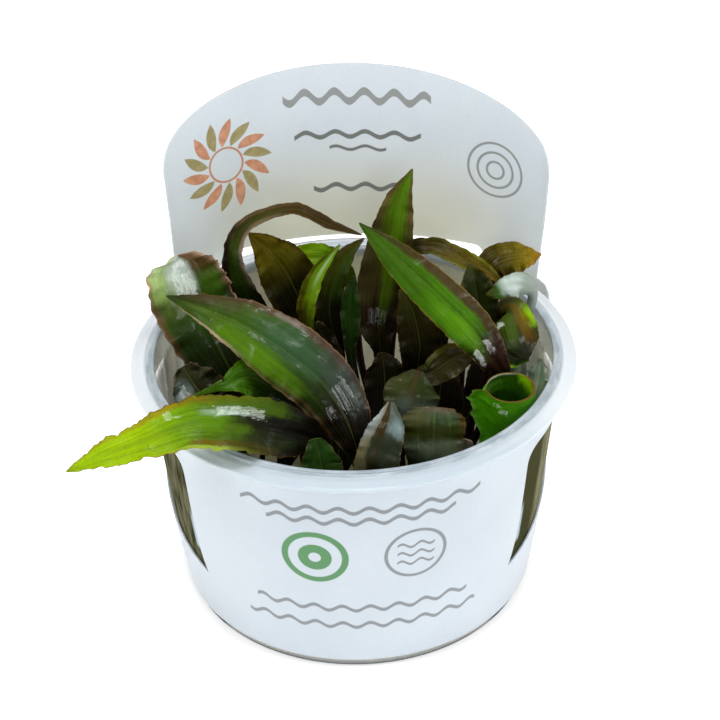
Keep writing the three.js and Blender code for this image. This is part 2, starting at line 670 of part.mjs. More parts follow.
    points: [[-26, -9, 32, 1], [-29.5, -11, 49, 5], [-33.5, -11, 55, 6.3],
      [-36.5, -9, 58.5, 5.8], [-38.5, -7, 61.5, 2]],
  },
  // Leaf pressed against the right wall
  {
    crown: 6, turn: 20, stem: 0.4, roll: 0.5, colour: 0x5f6f4c,
    face: [[-1, -0.3, 0.1], [-0.8, -0.6, 0.2]],
    points: [[36, -11, 30, 1.2], [41, -8, 50, 4], [42.5, -5.5, 55, 4], [42.8, -3.5, 59, 0.8]],
  },
  // Olive leaf under the green one
  {
    crown: 6, turn: 110, stem: 0.4, roll: 0.5, colour: 0x4d4f1c, face: [FORWARD, [0.2, -0.7, 0.7]],
    points: [[13, -6, 34, 0.9], [14, -6, 54, 1.5], [18, -5, 57, 3.2], [23, -4, 60, 3.8],
      [28.5, -4, 62, 0.6]],
  },
  // Dark upright leaf behind the green one
  {
    crown: 4, turn: 310, stem: 0.35, roll: 0.4, colour: 0x35300f, face: [FORWARD, [0, -0.9, 0.4]],
    points: [[14, 9, 34, 0.9], [15, 9, 48.5, 3.8], [15.5, 10, 55, 5], [14, 11, 63, 4.2],
      [11, 12, 68.5, 0.4]],
  },
  // Two short dark leaves in the middle
  {
    crown: 3, turn: 300, stem: 0.35, roll: 0.5, colour: 0x241d14, face: [FORWARD, [0, -0.82, 0.4]],
    points: [[-7, 5, 32, 0.9], [-5.5, 3, 48.5, 3.5], [-6, 3, 55.5, 4.2], [-7, 4, 62, 2.4],
      [-8, 4, 65.5, 0.5]],
  },
  {
    crown: 4, turn: 230, stem: 0.35, roll: 0.5, colour: 0x1e3a16, face: [FORWARD, [0, -0.82, 0.4]],
    points: [[3, 7, 30, 0.9], [-0.5, 14, 48, 1.2], [-0.5, 16, 55, 2.2], [-0.5, 18, 62, 2.4],
      [0.5, 20, 67.5, 0.4]],
  },
  // Leaves standing against the wall, seen through the windows of the sleeve
  {
    crown: 2, turn: 240, stem: 0.2, roll: 0.9, colour: 0x4a4e2c,
    face: [[0.8, 0.5, 0.1], [0.8, 0.5, 0.1]],
    points: [[-31, -18, 22, 2.5], [-34, -21, 32, 6.5], [-35, -21, 44, 7], [-35, -19, 53, 1.5]],
  },
  {
    crown: 6, turn: 300, stem: 0.2, roll: 0.6, colour: 0x4f5230,
    face: [[-0.7, 0.7, 0.1], [-0.7, 0.7, 0.1]],
    points: [[27, -28, 22, 2.5], [29.5, -29.5, 29, 4.5], [31, -29, 35, 3.4], [32, -28.5, 39, 0.6]],
  },
  {
    crown: 5, turn: 10, stem: 0.2, roll: 0.8, colour: 0x4a5a28,
    face: [[-0.9, -0.4, 0.1], [-0.9, -0.4, 0.1]],
    points: [[37, 9, 24, 3], [39, 11, 34, 6.5], [40, 13, 44, 6], [40, 15, 53, 1]],
  },
  {
    crown: 2, turn: 130, stem: 0.2, roll: 0.8, colour: 0x3f4a24,
    face: [[0.9, -0.4, 0.1], [0.9, -0.4, 0.1]],
    points: [[-35, 11, 24, 3], [-38, 14, 34, 5.5], [-39, 16, 42, 5], [-38.5, 17, 50, 1]],
  },
  {
    crown: 2, turn: 190, stem: 0.15, roll: 0.26, colour: 0x424626, face: [[1, 0.2, 0.1], [1, 0.2, 0.1]],
    points: [[-36.5, -8, 20, 4], [-40.5, -9, 29, 9.5], [-41.3, -8.5, 37, 10], [-41.8, -7.5, 44, 7.5],
      [-42, -7, 49, 1.5]],
  },
  {
    crown: 5, turn: 330, stem: 0.15, roll: 0.24, colour: 0x4c5530, face: [[-1, 0.2, 0.1], [-1, 0.2, 0.1]],
    points: [[37, -6.5, 19, 4], [40.6, -7.5, 27, 8.5], [41.4, -7, 34, 9], [41.8, -7, 40, 6],
      [42, -7, 44.5, 1]],
  },
  // Short dark leaves that fill the cup below the others
  {
    crown: 2, turn: 20, stem: 0.3, roll: 0.5, colour: 0x2a2614, face: [FORWARD, [0.3, -0.8, 0.5]],
    points: [[-18, -3, 26, 1], [-15, 0, 37, 4], [-14, 3, 45, 4.5], [-15, 5, 52, 1]],
  },
  {
    crown: 3, turn: 60, stem: 0.3, roll: 0.5, colour: 0x2e3a18, face: [FORWARD, [0, -0.8, 0.5]],
    points: [[-9, 29, 26, 1], [-14, 34, 38, 4], [-16, 35, 46, 4.5], [-18, 35, 53, 0.8]],
  },
  {
    crown: 3, turn: 140, stem: 0.3, roll: 0.5, colour: 0x33301a, face: [FORWARD, [0.3, -0.8, 0.5]],
    points: [[-14, 24, 28, 1], [-22, 28, 38, 4.5], [-27, 28, 46, 5], [-29, 28, 54, 1]],
  },
  {
    crown: 1, turn: 68, stem: 0.3, roll: 0.5, colour: 0x1f2f14, face: [FORWARD, [0, -0.8, 0.5]],
    points: [[-5, -7, 24, 1], [-4, -4, 34, 4], [-3, -2, 40, 4], [-2, 0, 46, 0.8]],
  },
  {
    crown: 1, turn: 34, stem: 0.3, roll: 0.5, colour: 0x1c1c10, face: [FORWARD, [0.2, -0.8, 0.5]],
    points: [[1, -9, 26, 1], [5.5, -4, 37, 3.4], [7, 1.5, 46, 5.2], [7, 4, 52, 4.6],
      [6.5, 5.5, 55.5, 1]],
  },
  {
    crown: 4, turn: 342, stem: 0.3, roll: 0.5, colour: 0x2b2a14, face: [FORWARD, [-0.3, -0.8, 0.5]],
    points: [[20, 10, 22, 1], [28, 16, 31, 3], [32, 21, 40, 4], [33, 23, 48, 0.8]],
  },
  {
    crown: 4, turn: 48, stem: 0.3, roll: 0.5, colour: 0x2c3216, face: [FORWARD, [0, -0.8, 0.5]],
    points: [[15, 23, 28, 1], [18, 30, 38, 4.5], [19, 33, 46, 4.5], [20, 34, 53, 0.8]],
  },
  {
    crown: 1, turn: 160, stem: 0.3, roll: 0.5, colour: 0x2d3a1c,
    face: [[0.5, -0.7, 0.3], [0.5, -0.6, 0.5]],
    points: [[-15, -14, 24, 1], [-21, -19, 33, 4.5], [-24, -22, 41, 5], [-25, -23, 48, 1]],
  },
  {
    crown: 6, turn: 270, stem: 0.3, roll: 0.6, colour: 0x5c5248, face: [FORWARD, [-0.2, -0.8, 0.5]],
    points: [[21, -23, 26, 1], [23, -30, 38, 3.4], [24, -32, 48, 3.4], [24, -31, 57, 2]],
  },
  {
    crown: 5, turn: 230, stem: 0.3, roll: 0.5, colour: 0x282a14, face: [FORWARD, [0.2, -0.8, 0.5]],
    points: [[21, 0, 26, 1], [19.5, 2, 36, 5], [20, 4, 45, 5.6], [22, 6, 54, 1]],
  },
];

LEAVES.forEach((leaf, index) => {
  const name = `leaf_${String(index + 1).padStart(2, '0')}`;
  addPiece(name, leafGeometry(leaf), finish(leaf.colour, 0.3));
});

export default group;
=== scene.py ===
# Potted Cryptocoryne nurii: looks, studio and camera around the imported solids
import math

import bmesh
import bpy
import numpy as np
from mathutils import Matrix, Vector


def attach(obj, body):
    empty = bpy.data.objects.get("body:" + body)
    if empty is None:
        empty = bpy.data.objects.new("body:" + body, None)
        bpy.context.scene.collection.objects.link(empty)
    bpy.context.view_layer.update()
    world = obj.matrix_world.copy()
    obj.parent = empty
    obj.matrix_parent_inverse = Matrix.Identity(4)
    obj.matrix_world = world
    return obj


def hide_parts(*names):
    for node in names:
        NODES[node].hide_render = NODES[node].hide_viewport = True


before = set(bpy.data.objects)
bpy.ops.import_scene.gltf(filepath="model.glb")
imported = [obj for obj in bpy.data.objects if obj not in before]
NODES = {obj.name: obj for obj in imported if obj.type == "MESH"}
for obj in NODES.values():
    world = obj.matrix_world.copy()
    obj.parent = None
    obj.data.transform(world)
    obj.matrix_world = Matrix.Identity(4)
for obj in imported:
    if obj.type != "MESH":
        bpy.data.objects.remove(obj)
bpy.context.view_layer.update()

# Millimetres in, metres out
MM = 0.001

# Cup, as the solids have it
CUP_HEIGHT = 60.5
BASE_RADIUS = 41
WALL_SLOPE = 0.165
WALL_BEND = 0.00083
WALL_THICKNESS = 0.8
WALL_MIDDLE = 39.9
FLOOR_THICKNESS = 1.0
FLANGE_RADIUS = 51
FLANGE_DROOP = 0.6
BEAD_OUTER_RADIUS = 47.5
BEAD_INNER_RADIUS = 45.6
BEAD_DEPTH = 3.6
CUP_SEGMENTS = 192

# Card sleeve, as the solids have it
CARD_THICKNESS = 0.4
GAP = 0.3
SLEEVE_BOTTOM = 3
SLEEVE_TOP = 57.2
HEADER_TOP = 106.5
HEADER_HALF_WIDTH = 47
HEADER_FLARE = 2.4
HEADER_SHOULDER = 87.3
SHOULDER_RISE = 9.4
SHOULDER_KNEE = (36.5, 101)
ARCH_JOIN = (29.7, 102.9)
ARCH_RISE = (19, 105.9)
ARCH_FLAT = 8
HEADER_PLAN_RADIUS = 70
HEADER_BACK = 48.7
HEADER_LEAN = 0.08
HEADER_SHIFT = 1.8
HEADER_TILT = 0.035
HEADER_BEND_START = 12
HEADER_BEND_REACH = 1.3
SLOT_HALF_LENGTH = 32
SLOT_TOP = 61.6
CARD_LAYOUT_RADIUS = 46
HALF_ROUND = math.pi * CARD_LAYOUT_RADIUS
CARD_CELL = (2.4, 4.0)
JOIN_DISTANCE = 1e-4

# Crowns and leaves, as the solids have them
CROWNS = [[-7, -13], [-25, -5], [-7, 17], [11, 13], [28, 4], [19, -15]]
CROWN_FOOT = 9.5
CROWN_RADIUS = 2.2
CROWN_HEIGHT = 7
CROWN_RINGS = 15
CROWN_SEGMENTS = 28
LEAF_START_RADIUS = 3.6
LEAF_START_HEIGHT = 14
STEM_HALF_WIDTH = 0.9
STEM_HALF_THICKNESS = 0.8
BLADE_HALF_THICKNESS = 0.26
BLADE_START_SPREAD = 0.08
LEAF_CELL = 1.0
LEAF_SPANS = 22

# Edges bent more than this stay sharp
SHARP_ANGLE = math.radians(48)

# Where the blade starts in the length coordinate of the leaves' surface
BLADE_FROM = 0.25

# Camera fitted to the photograph: degrees, millimetres and pixels
CAMERA_ELEVATION = 34.473
CAMERA_ROLL = -1.285
CAMERA_DISTANCE = 500
CAMERA_AIM = (1.46, 0, 57.319)
FOCAL_PIXELS = 2178.465
PICTURE_SIZE = 720
SENSOR_WIDTH = 36

# Glow of surfaces, and soft box lights: place, size and power, all aimed at one point
WORLD_STRENGTH = 0.12
FLOOR_HALF_SIZE = 3.0
FLOOR_GLOW = 0.5
CARD_GLOW = 0.25
FLANGE_GLOW = 0.08
LIGHT_AIM = (0, 0, 0.05)
STUDIO_LIGHTS = {
    "key_box": ((-0.02, -0.12, 0.95), (0.34, 0.28), 3.4),
    "overhead": ((0.0, 0.1, 1.35), (1.6, 1.2), 5.2),
    "left_box": ((-0.85, -0.35, 0.6), (0.3, 0.5), 3.0),
    "right_box": ((0.85, -0.3, 0.6), (0.3, 0.5), 3.0),
    "front_box": ((0.15, -1.0, 0.5), (0.4, 0.3), 2.6),
}

# Inks of the print, and the soft edge of its lines in millimetres
GREY_INK = "83898d"
DARK_INK = "5c6367"
GREEN_INK = "4f8a54"
OLIVE_INK = "8a8050"
RED_INK = "b4765a"
SOFT_EDGE = 0.25

# Waves, teeth and rolled edge of a leaf, then its colours, veins and film of water, unless its entry says
# otherwise
LEAF_SHAPE = dict(wave=0.5, wave_pitch=11, ripple=0.08, crease=0.25, teeth=0.13, flap=(1, 0))
LEAF_LOOK = dict(
    margin_from=(0.84, 0.84), shade="7c7c50", veins=6, vein=0.04, rib="7a8a30", rib_mix=0.14,
    rib_width=0.05, specks=0.25, speck="140c04", rim="4a2c14", rim_mix=0.45,
    gloss="", blots="", gloss_way="top", comb=(0.008, 0.26, 0.56), streaks=0.45, stem="180a06",
    under="3c3014", under_mix=0.5, coat=0.6, glow=0.05,
)

# Directions that send the key light, or the light in front, towards the photograph's camera
GLOSS_WAYS = dict(top=(0, -0.52, 0.854), front=(0.07, -0.865, 0.497))

# Which way a leaf that stands upright faces
FORWARD = "0 -1 0.3"


def rows(text):
    """Rows from a text with commas between them; a word of six signs without a point is a colour."""
    return [[word if len(word) == 6 and "." not in word else float(word) for word in row.split()]
            for row in text.split(",") if row]


def leaf(look, crown, turn, stem, roll, face, points, spans=LEAF_SPANS, **shape):
    return dict(look=look, crown=crown, turn=turn, stem=stem, roll=roll, points=rows(points), spans=spans,
                face=rows(face.replace("forward", FORWARD)), shape={**LEAF_SHAPE, **shape})


# Each leaf: look, crown, direction at the foot in degrees, share that is petiole, roll in radians, where
# the upper side faces from foot to tip, and the middle line as points of x, y, z and half width
LEAVES = [
    # Bright leaf that hangs out over the rim at the front left
    leaf("hanging", 1, -90, 0.2, 0.5, "forward, 0 -0.7 0.7, 0 -0.5 0.87",
         "-7 -24 36 0.9, -7 -31 56 2.2, -15 -36 64 5.8, -24.5 -38 67.5 6.2, -35 -40 69 5.8, "
         "-44.5 -42 66.5 4.4, -54 -44 64 2.8, -61 -46 62 0.2",
         wave=0.7, wave_pitch=14, teeth=0.3, crease=0.45),
    # Largest leaf, arching to the back left above its neighbours
    leaf("broad", 1, 0, 0.22, -0.5, "forward, 0.1 -0.82 0.57, 0 -0.8 0.6",
         "1 -16 32 0.9, 0.5 -23 47.5 2.4, -2 -21 56 6.2, -7 -17 63 7.6, -15 -12 68 8, -24.5 -6 71.5 6.4, "
         "-33.5 -1 73 3.6, -42 3 74 0.2",
         wave=0.8, wave_pitch=13, crease=0.45),
    # Broad blunt leaf standing at the left wall
    leaf("pale_wall", 2, 70, 0.25, -0.3, "forward, 0.2 -0.8 0.5, 0 -0.6 0.8",
         "-22 3 36 0.9, -25.5 0 47 4, -30.5 3 58.5 8.4, -34.5 6 66 9.6, -37.5 8 73 9.4, -39 9 78.5 7, "
         "-39.5 9 81 0.3",
         wave=1.1, wave_pitch=13, teeth=0.35),
    # Narrow folded leaf in a high arch
    leaf("arched", 3, 170, 0.22, 0.9, "-0.3 -0.9 0.2, -0.2 -0.9 0.3, -0.3 -0.9 0.3, 0 -0.5 0.8, 0.3 -0.5 0.8",
         "-18 18 40 0.9, -20.6 17 55 2.4, -24 17 63.4 4.1, -26.5 17 70.4 3.7, -27 17 76 2.8, "
         "-25.8 18 80.6 2.4, -22.5 18 84.2 2, -16.5 19 86 1.8, -11.5 20 85.5 1.8, -5 21 81 1.6, "
         "2.5 22 77.5 0.2",
         wave=0.35, wave_pitch=8),
    # Broad dark leaf behind the arch
    leaf("dark_olive", 3, 100, 0.25, 0.3, "forward, 0 -0.9 0.4, -0.1 -0.82 0.57",
         "-8 24 36 0.9, -8.5 24 47 3, -12 25 56.5 6.2, -16 26 66 6.6, -20 26 72 4, -24 25 77 0.2"),
    # Bright young leaf at the back wall
    leaf("lime", 4, 120, 0.35, 0.3, "forward, 0 -0.82 0.57",
         "2 30 34 0.9, 0 33 55.5 1.5, -4 33 63 3.2, -9.5 33 64.8 3.6, -14 32.4 63.8 2.8, -16 32 63.2 0.5"),
    # Slim bright leaf folded along its middle
    leaf("lime_edged", 3, 240, 0.3, 1, "-0.3 -0.9 0.3, -0.3 -0.82 0.5",
         "-8 12 34 0.9, -10.5 13 53 1.6, -10.5 13 60.5 2.4, -10 13 66 2.8, -7.5 13 73 2.2, -2.5 13 80.5 0.2"),
    # Dark leaf beside it
    leaf("olive_stripe", 3, 20, 0.3, 0.6, "forward, -0.4 -0.8 0.5",
         "-3 18 34 0.9, -4 18 49.5 2, -5.5 18 59.5 3.2, -4 18 68 3.2, -1 18 74.5 2.2, 3 18 79 0.2"),
    # Tallest leaf, upright in the middle of the back
    leaf("tall", 4, 175, 0.25, 0.5, "forward, 0 -0.9 0.4, 0 -0.82 0.57",
         "6 20 36 0.9, 6.5 21 45.5 2, 6 22 53 5, 7.5 23 63 6.6, 9.5 24 76 5.4, 11.5 25 85 3.4, "
         "14.5 26 92.5 0.2",
         wave=0.7, wave_pitch=12, crease=0.4),
    # Green leaf lying across the right half, tip high in the middle
    leaf("green_purple", 6, 60, 0.28, -0.4, "-0.3 -1 0.3, -0.2 -0.7 0.7, 0 -0.82 0.57",
         "26 -8 36 0.9, 33.5 -8 54 1.5, 31 -8 63 3.8, 26 -5 69.5 5.2, 18 0 76 5, 10 5 82 3.6, 2 9 88.5 0.2",
         wave=0.5, wave_pitch=12, crease=0.4),
    # Narrow twisted leaf reaching right behind it
    leaf("olive_brown", 4, 85, 0.35, 0.6, "forward, 0 -0.7 0.7, 0 -0.9 0.5",
         "9 28 38 0.9, 12.5 27 66.5 2, 18.5 26 71.5 2.2, 25.5 24 69.5 2.4, 31.5 22 67 1.8, 35.5 20 64.5 0.2"),
    # Golden brown leaf at the back right
    leaf("golden", 5, 110, 0.35, -0.5, "forward, 0 -0.7 0.7",
         "26 22 38 0.9, 30.5 25 60 2.5, 33.5 26 65.5 4.4, 38 27 67 4.4, 42 27 67.5 2.6, 45 27 68 0.2",
         wave=1.2, wave_pitch=10),
    # Dark leaf in the shade of the green one
    leaf("dark_green", 4, 15, 0.35, 0.5, "forward, 0.2 -0.82 0.57",
         "20 16 36 0.9, 29.5 14 54 4, 29.5 15 61 5, 28.5 16 67.5 3.8, 27 17 72.5 0.3"),
    # Small wet leaf bent over at the right wall
    leaf("pale_painted_sheen", 5, 60, 0.6, -0.4, "forward, forward, 0 -0.8 0.6, 0 -0.7 0.7",
         "33 14 38 0.9, 39.5 14.5 55 1, 41.6 14 62 1.1, 41.8 13.5 66 1.4, 39.6 13 68.4 3, 36.2 13 68 2.8, "
         "33.5 13 66.6 1.8, 30.9 13 66 0.3"),
    # Yellow-green leaf drooping at the right wall
    leaf("yellow_green", 5, 170, 0.55, -0.4, "forward, forward, -0.1 -0.5 0.8, 0.1 -0.5 0.8",
         "28 6 36 0.9, 33 8.5 54 1.1, 35 8.5 62 1.8, 36 6.5 65.4 4.1, 37 3 64.8 4.9, 38 -2 62.8 4.5, "
         "39.2 -5.5 60 0.5"),
    # Dark leaf lying under it, its near edge bright
    leaf("under_olive", 5, 290, 0.45, 0.3, "forward, 0 -0.7 0.7, 0 -0.6 0.8",
         "32 -1 34 0.9, 34.4 0 50 1.4, 34 0.5 55.5 2.4, 35.4 -1.2 58.4 3.2, 37.8 -2.4 58.8 2.7, "
         "40 -3.2 58.2 0.3"),
    # Leaf rolled into an open tube at the front right
    leaf("rolled", 6, 350, 0.3, 3.35, "-0.9 0.4 0.1, -0.96 0.27 0.05",
         "31 -22 30 1.4, 36.5 -20.5 40 10, 39.2 -19 50 16, 39.9 -18.8 57 18.2, 39.9 -18.9 61 18.2",
         spans=64, wave=0.5, crease=0, teeth=0.4, flap=(0.73, 5.9)),
    # Spreading grey-brown leaf in the middle of the front
    leaf("grey_brown", 6, 150, 0.35, -0.5, "forward, 0 -0.7 0.7",
         "9 -16 34 0.9, 11 -18 50 3, 12.5 -18 56 5.8, 13 -16 60 6.4, 14.5 -13 63 1.5"),
    # Upright leaf inside the front wall
    leaf("front_veined", 6, 230, 0.3, -0.4, "0 -1 0.2, 0 -0.85 0.5",
         "13 -28 30 1.2, 16.5 -34 51 5.5, 17 -33 58.5 6.8, 17.2 -31.2 63 7, 17.4 -29.5 64.8 4.5"),
    # Pale folded leaf beside it
    leaf("pale_sheen", 1, 300, 0.3, 0.8, "0 -1 0.2, -0.3 -0.85 0.5",
         "2.4 -28 30 1.2, 4.3 -35 51 5.2, 5.7 -34 57.5 5.2, 7.4 -32 62 4.2, 8 -29 66 0.8",
         wave=0.35, wave_pitch=12),
    # Short green leaf inside the front wall
    leaf("short_green", 1, 215, 0.4, 0.3, "0 -1 0.2, 0 -0.9 0.4",
         "-12 -30 34 1.2, -7.5 -38 52 3.8, -7.5 -38 57 4.6, -8.5 -37 62.5 1.5"),
    # Green leaf under the largest one, with a thin tip to the left
    leaf("under_green", 1, 110, 0.3, 0.3, "forward, 0 -0.7 0.6, 0 -0.82 0.57",
         "-12 -8 34 0.9, -10 -11 51 3.4, -17 -10 56 5.4, -23.5 -10 60 4.8, -29.5 -12 59.5 1.4, "
         "-36.5 -14 58 0.2"),
    # Dark crumpled leaf at the left wall
    leaf("crumpled", 2, 290, 0.35, 0.7, "0.3 -0.9 0.2, 0.3 -0.82 0.4",
         "-26 -9 32 1, -29.5 -11 49 5, -33.5 -11 55 6.3, -36.5 -9 58.5 5.8, -38.5 -7 61.5 2",
         wave=1.8, wave_pitch=8, ripple=0.4),
    # Leaf pressed against the right wall
    leaf("pale_wet", 6, 20, 0.4, 0.5, "-1 -0.3 0.1, -0.8 -0.6 0.2",
         "36 -11 30 1.2, 41 -8 50 4, 42.5 -5.5 55 4, 42.8 -3.5 59 0.8"),
    # Olive leaf under the green one
    leaf("olive", 6, 110, 0.4, 0.5, "forward, 0.2 -0.7 0.7",
         "13 -6 34 0.9, 14 -6 54 1.5, 18 -5 57 3.2, 23 -4 60 3.8, 28.5 -4 62 0.6"),
    # Dark upright leaf behind the green one
    leaf("brown_olive", 4, 310, 0.35, 0.4, "forward, 0 -0.9 0.4",
         "14 9 34 0.9, 15 9 48.5 3.8, 15.5 10 55 5, 14 11 63 4.2, 11 12 68.5 0.4"),
    # Two short dark leaves in the middle
    leaf("near_black", 3, 300, 0.35, 0.5, "forward, 0 -0.82 0.4",
         "-7 5 32 0.9, -5.5 3 48.5 3.5, -6 3 55.5 4.2, -7 4 62 2.4, -8 4 65.5 0.5"),
    leaf("short_green", 4, 230, 0.35, 0.5, "forward, 0 -0.82 0.4",
         "3 7 30 0.9, -0.5 14 48 1.2, -0.5 16 55 2.2, -0.5 18 62 2.4, 0.5 20 67.5 0.4"),
    # Leaves standing against the wall, seen through the windows of the sleeve
    leaf("window", 2, 240, 0.2, 0.9, "0.8 0.5 0.1, 0.8 0.5 0.1",
         "-31 -18 22 2.5, -34 -21 32 6.5, -35 -21 44 7, -35 -19 53 1.5"),
    leaf("window", 6, 300, 0.2, 0.6, "-0.7 0.7 0.1, -0.7 0.7 0.1",
         "27 -28 22 2.5, 29.5 -29.5 29 4.5, 31 -29 35 3.4, 32 -28.5 39 0.6"),
    leaf("pale_wet", 5, 10, 0.2, 0.8, "-0.9 -0.4 0.1, -0.9 -0.4 0.1",
         "37 9 24 3, 39 11 34 6.5, 40 13 44 6, 40 15 53 1"),
    leaf("window", 2, 130, 0.2, 0.8, "0.9 -0.4 0.1, 0.9 -0.4 0.1",
         "-35 11 24 3, -38 14 34 5.5, -39 16 42 5, -38.5 17 50 1"),
    leaf("window", 2, 190, 0.15, 0.26, "1 0.2 0.1, 1 0.2 0.1",
         "-36.5 -8 20 4, -40.5 -9 29 9.5, -41.3 -8.5 37 10, -41.8 -7.5 44 7.5, -42 -7 49 1.5"),
    leaf("pale_olive", 5, 330, 0.15, 0.24, "-1 0.2 0.1, -1 0.2 0.1",
         "37 -6.5 19 4, 40.6 -7.5 27 8.5, 41.4 -7 34 9, 41.8 -7 40 6, 42 -7 44.5 1"),
    # Short dark leaves that fill the cup below the others, their near-black colours partly their own and
    # partly painted shade
    leaf("near_black", 2, 20, 0.3, 0.5, "forward, 0.3 -0.8 0.5",
         "-18 -3 26 1, -15 0 37 4, -14 3 45 4.5, -15 5 52 1"),
    leaf("shade_green", 3, 60, 0.3, 0.5, "forward, 0 -0.8 0.5",
         "-9 29 26 1, -14 34 38 4, -16 35 46 4.5, -18 35 53 0.8"),
    leaf("near_black", 3, 140, 0.3, 0.5, "forward, 0.3 -0.8 0.5",
         "-14 24 28 1, -22 28 38 4.5, -27 28 46 5, -29 28 54 1"),
    leaf("shade_green", 1, 68, 0.3, 0.5, "forward, 0 -0.8 0.5",
         "-5 -7 24 1, -4 -4 34 4, -3 -2 40 4, -2 0 46 0.8"),
    leaf("near_black", 1, 34, 0.3, 0.5, "forward, 0.2 -0.8 0.5",
         "1 -9 26 1, 5.5 -4 37 3.4, 7 1.5 46 5.2, 7 4 52 4.6, 6.5 5.5 55.5 1"),
    leaf("near_black", 4, 342, 0.3, 0.5, "forward, -0.3 -0.8 0.5",
         "20 10 22 1, 28 16 31 3, 32 21 40 4, 33 23 48 0.8"),
    leaf("shade_green", 4, 48, 0.3, 0.5, "forward, 0 -0.8 0.5",
         "15 23 28 1, 18 30 38 4.5, 19 33 46 4.5, 20 34 53 0.8"),
    leaf("shade_green", 1, 160, 0.3, 0.5, "0.5 -0.7 0.3, 0.5 -0.6 0.5",
         "-15 -14 24 1, -21 -19 33 4.5, -24 -22 41 5, -25 -23 48 1"),
    leaf("curled_grey", 6, 270, 0.3, 0.6, "forward, -0.2 -0.8 0.5",
         "21 -23 26 1, 23 -30 38 3.4, 24 -32 48 3.4, 24 -31 57 2"),
    leaf("near_black", 5, 230, 0.3, 0.5, "forward, 0.2 -0.8 0.5",
         "21 0 26 1, 19.5 2 36 5, 20 4 45 5.6, 22 6 54 1"),
]
